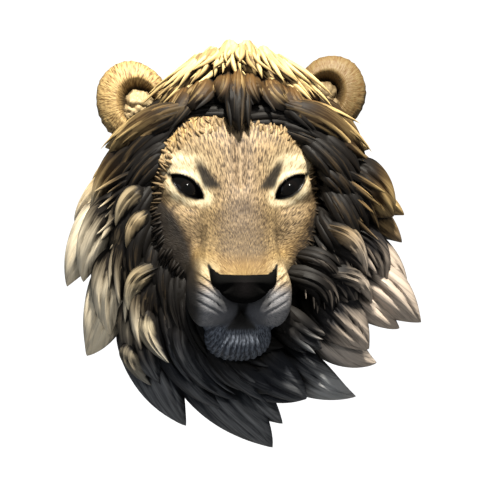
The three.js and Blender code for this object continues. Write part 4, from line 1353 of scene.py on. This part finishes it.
def brushed_colour(tree, strands, contrast, wash_and_shade):
    """Undercoat, brushed paint where the strands stand up, and a dark wash with painted shade in the
    recesses.
    """
    base, _, _ = layer_of(tree, "base")
    brushed, amount, _ = layer_of(tree, "brushed")
    _, _, recess = layer_of(tree, "recess")
    reach = calculate(tree, "MULTIPLY", calculate(tree, "ADD", amount, 0.25), contrast)
    spread = calculate(tree, "MULTIPLY", calculate(tree, "SUBTRACT", strands, 0.5), reach)
    shut = calculate(tree, "MULTIPLY", recess, 0.6 * wash_and_shade)
    share = calculate(tree, "SUBTRACT", calculate(tree, "ADD", amount, spread), shut, clamp=True)
    coat = mix_colours(tree, share, base, brushed)
    # The deepest recesses go near black: painted shade as well as wash.
    deep = calculate(tree, "MULTIPLY", calculate(tree, "SUBTRACT", recess, 0.2), 2.4 * wash_and_shade, clamp=True)
    bare = calculate(tree, "SUBTRACT", 1.0, calculate(tree, "MULTIPLY", amount, 0.8))
    return mix_colours(tree, calculate(tree, "MULTIPLY", deep, bare), coat, (0.005, 0.004, 0.003, 1))


def add_noises(tree, a, b, share):
    """Two noises added, the first by its share and the second by the rest."""
    return calculate(
        tree, "ADD", calculate(tree, "MULTIPLY", a, share), calculate(tree, "MULTIPLY", b, 1 - share)
    )


def add_bump(tree, shader, height, strength, distance):
    bump = add_node(tree, "ShaderNodeBump")
    bump.inputs["Strength"].default_value = strength
    bump.inputs["Distance"].default_value = distance
    tree.links.new(height, bump.inputs["Height"])
    tree.links.new(bump.outputs["Normal"], shader.inputs["Normal"])


def hair_material():
    """Carved and dry-brushed hair of the mane."""
    material, tree, shader = new_material("lion_mane")
    fine = flow_noise(tree, 0.7, 0.035, 3, 0)
    broad = flow_noise(tree, 0.22, 0.02, 2, 31)
    strands = add_noises(tree, fine, broad, 0.6)
    tree.links.new(brushed_colour(tree, strands, 2.6, 0.9), shader.inputs["Base Color"])
    rough = calculate(tree, "ADD", calculate(tree, "MULTIPLY", strands, 0.3), 0.48)
    tree.links.new(rough, shader.inputs["Roughness"])
    shader.inputs["Specular IOR Level"].default_value = 0.25
    add_bump(tree, shader, strands, 0.55, 0.0011)
    return material


def fur_material():
    """Short fur of the face."""
    material, tree, shader = new_material("lion_fur")
    fine = flow_noise(tree, 1.0, 0.22, 2, 0)
    spots = flow_noise(tree, 0.14, 0.14, 2, 17)
    strands = add_noises(tree, fine, spots, 0.8)
    tree.links.new(brushed_colour(tree, strands, 6.0, 0.75), shader.inputs["Base Color"])
    _, rough, _ = layer_of(tree, "base")
    tree.links.new(rough, shader.inputs["Roughness"])
    add_bump(tree, shader, strands, 0.6, 0.0009)
    return material


def gloss_material(name, specular):
    """Smooth black of the eyes and their rims, or of the nose."""
    material, tree, shader = new_material(name)
    base, rough, _ = layer_of(tree, "base")
    tree.links.new(base, shader.inputs["Base Color"])
    tree.links.new(rough, shader.inputs["Roughness"])
    shader.inputs["Specular IOR Level"].default_value = specular
    grain = flow_noise(tree, 1.6, 1.6, 3, 5)
    pitted = calculate(tree, "MULTIPLY", grain, calculate(tree, "SUBTRACT", rough, 0.2, clamp=True))
    add_bump(tree, shader, pitted, 0.6, 0.0008)
    return material


EYE_GLOSS, NOSE_GLOSS = 0.3, 0.06
MATERIALS = [
    fur_material(), hair_material(),
    gloss_material("lion_eye", EYE_GLOSS), gloss_material("lion_nose", NOSE_GLOSS),
]


# The whole head

def rise_over(piece):
    """A function that gives a piece's rise at x and z, from rays against it alone."""
    shape = bmesh.new()
    shape.from_mesh(piece.data)
    tree = BVHTree.FromBMesh(shape)
    shape.free()

    def rise(x, z):
        hit = tree.ray_cast(Vector((x * MM, -0.3, z * MM)), Vector((0, 1, 0)))
        return -hit[0].y / MM if hit[0] is not None else 0.0

    return rise


def make_head():
    face = make_face()
    over_face = rise_over(face)
    apply_boolean(face, make_nose(), "UNION")
    for side in (-1, 1):
        apply_boolean(face, make_eye_cut(side), "DIFFERENCE")
        apply_boolean(face, make_eyeball(side), "UNION")
        apply_boolean(face, make_lid_rim(side), "UNION")
    locks = [outer_lock(i, row) for i, row in enumerate(OUTER_LOCKS)]
    locks += [tier_lock(tier, i) for tier in TIERS for i in range(tier["count"])]
    locks += [fore_lock(row, i) for row in FORELOCKS for i in range(row["count"])]
    locks += ROLLS
    mane = [make_lock(lock) for lock in locks if not lock["bundle"]]
    for lock in locks:
        if lock["bundle"]:
            mane += make_bundle(lock)
    mane += [make_lock(crest_strand(i), steps=11, column=1.2) for i in range(CREST_STRANDS)]
    for side in (-1, 1):
        mane += [make_lock(cheek_strand(i, side), steps=12, column=1.5) for i in range(CHEEK_STRANDS)]
    mane += [make_dome(), make_crown()]
    ears = [make_ear(i, spec) for i, spec in enumerate(EARS)]
    fringe = []
    for spike, angle in make_fringe(over_face):
        piece = make_lock(spike, steps=5, column=0.6)
        fringe_layers(piece, angle)
        fringe.append(piece)
    mane = join_all(mane)
    over_mane = rise_over(mane)
    tufts = [make_lock(pale_tuft(i, row, over_mane)) for i, row in enumerate(PALE_TUFTS)]
    head = join_all([mane, join_all(tufts), join_all(fringe), *ears, face])
    cut_back(head)
    keep_outer_shell(head.data)
    measure_recess(head.data)
    return head


SHARP_ANGLE = math.radians(48)


def finish_surface(mesh):
    mesh.polygons.foreach_set("use_smooth", np.ones(len(mesh.polygons), dtype=bool))
    mesh.set_sharp_from_angle(angle=SHARP_ANGLE)


head = make_head()
finish_surface(head.data)
head.name = "lion_head_carved"
head.data.name = "lion_head_carved"
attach(head, "root")
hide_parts("lion_head")


# The studio: pale floor and backdrop, warm key light, dim cool fill and a small light for the eyes

def stage_plane(name, centre, size, upright, tone, glow):
    a, b = size[0] / 2, size[1] / 2
    flat = [(-a, -b), (a, -b), (a, b), (-a, b)]
    corners = [(x, 0, y) if upright else (x, y, 0) for x, y in flat]
    mesh = bpy.data.meshes.new(name)
    mesh.from_pydata([tuple(Vector(corner) + Vector(centre)) for corner in corners], [], [(0, 1, 2, 3)])
    material, _, shader = new_material(name)
    shader.inputs["Base Color"].default_value = (*tone, 1)
    shader.inputs["Roughness"].default_value = 0.8
    shader.inputs["Emission Color"].default_value = (1, 1, 1, 1)
    shader.inputs["Emission Strength"].default_value = glow
    mesh.materials.append(material)
    plane = bpy.data.objects.new(name, mesh)
    bpy.context.scene.collection.objects.link(plane)


def aim(thing, target):
    thing.rotation_mode = "QUATERNION"
    thing.rotation_quaternion = (Vector(target) - thing.location).to_track_quat("-Z", "Y")


def add_light(name, kind, location, target, power, colour, **settings):
    data = bpy.data.lights.new(name, kind)
    data.energy = power
    data.color = colour
    for key, value in settings.items():
        setattr(data, key, value)
    lamp = bpy.data.objects.new(name, data)
    lamp.location = location
    bpy.context.scene.collection.objects.link(lamp)
    aim(lamp, target)


MIDDLE = Vector((0, -0.05, 0))
VIEW_CENTRE = Vector((0.00667, 0, -0.00407))
VIEW_WIDTH = 0.37035  # metres across the picture at the outline's plane
CAMERA_DISTANCE = 2.6
SENSOR_WIDTH = 36
OUTLINE_PLANE = -0.02
KEY_POWER, FILL_POWER, CATCH_POWER = 380, 3, 45  # watts


def make_studio():
    stage_plane("floor", (0, -0.4, -1.6), (8, 8), False, (0.86, 0.85, 0.83), 0.0)
    stage_plane("backdrop", (0, 2.2, 0), (1.6, 1.6), True, (0.8, 0.8, 0.8), 1.0)
    key_place = MIDDLE + Vector((0.12, -0.95, 1.48))
    beam = {"spot_size": math.radians(28), "spot_blend": 0.4, "shadow_soft_size": 0.08}
    add_light("key", "SPOT", key_place, MIDDLE, KEY_POWER, (1.0, 0.94, 0.83), **beam)
    fill_place = MIDDLE + Vector((-1.4, -1.6, -0.1))
    add_light("fill", "AREA", fill_place, MIDDLE, FILL_POWER, (0.80, 0.88, 1.0), shape="DISK", size=1.4)
    catch_place = MIDDLE + Vector((0.5, -2.4, 0.65))
    beam = {"spot_size": math.radians(12), "shadow_soft_size": 0.1}
    add_light("catch", "SPOT", catch_place, MIDDLE, CATCH_POWER, (1.0, 0.97, 0.92), **beam)
    world = bpy.data.worlds.new("studio")
    bpy.context.scene.world = world
    world.use_nodes = True
    background = world.node_tree.nodes["Background"]
    background.inputs["Color"].default_value = (0.92, 0.96, 1.0, 1)
    background.inputs["Strength"].default_value = 0.14


def make_camera():
    data = bpy.data.cameras.new("camera")
    data.sensor_width = SENSOR_WIDTH
    data.lens = SENSOR_WIDTH * CAMERA_DISTANCE / VIEW_WIDTH
    data.clip_start = 0.1
    data.clip_end = 20
    camera = bpy.data.objects.new("camera", data)
    camera.location = (VIEW_CENTRE.x, OUTLINE_PLANE - CAMERA_DISTANCE, VIEW_CENTRE.z)
    camera.rotation_euler = (math.radians(90), 0, 0)
    bpy.context.scene.collection.objects.link(camera)
    bpy.context.scene.camera = camera


make_studio()
make_camera()
bpy.context.scene.view_settings.view_transform = "Standard"
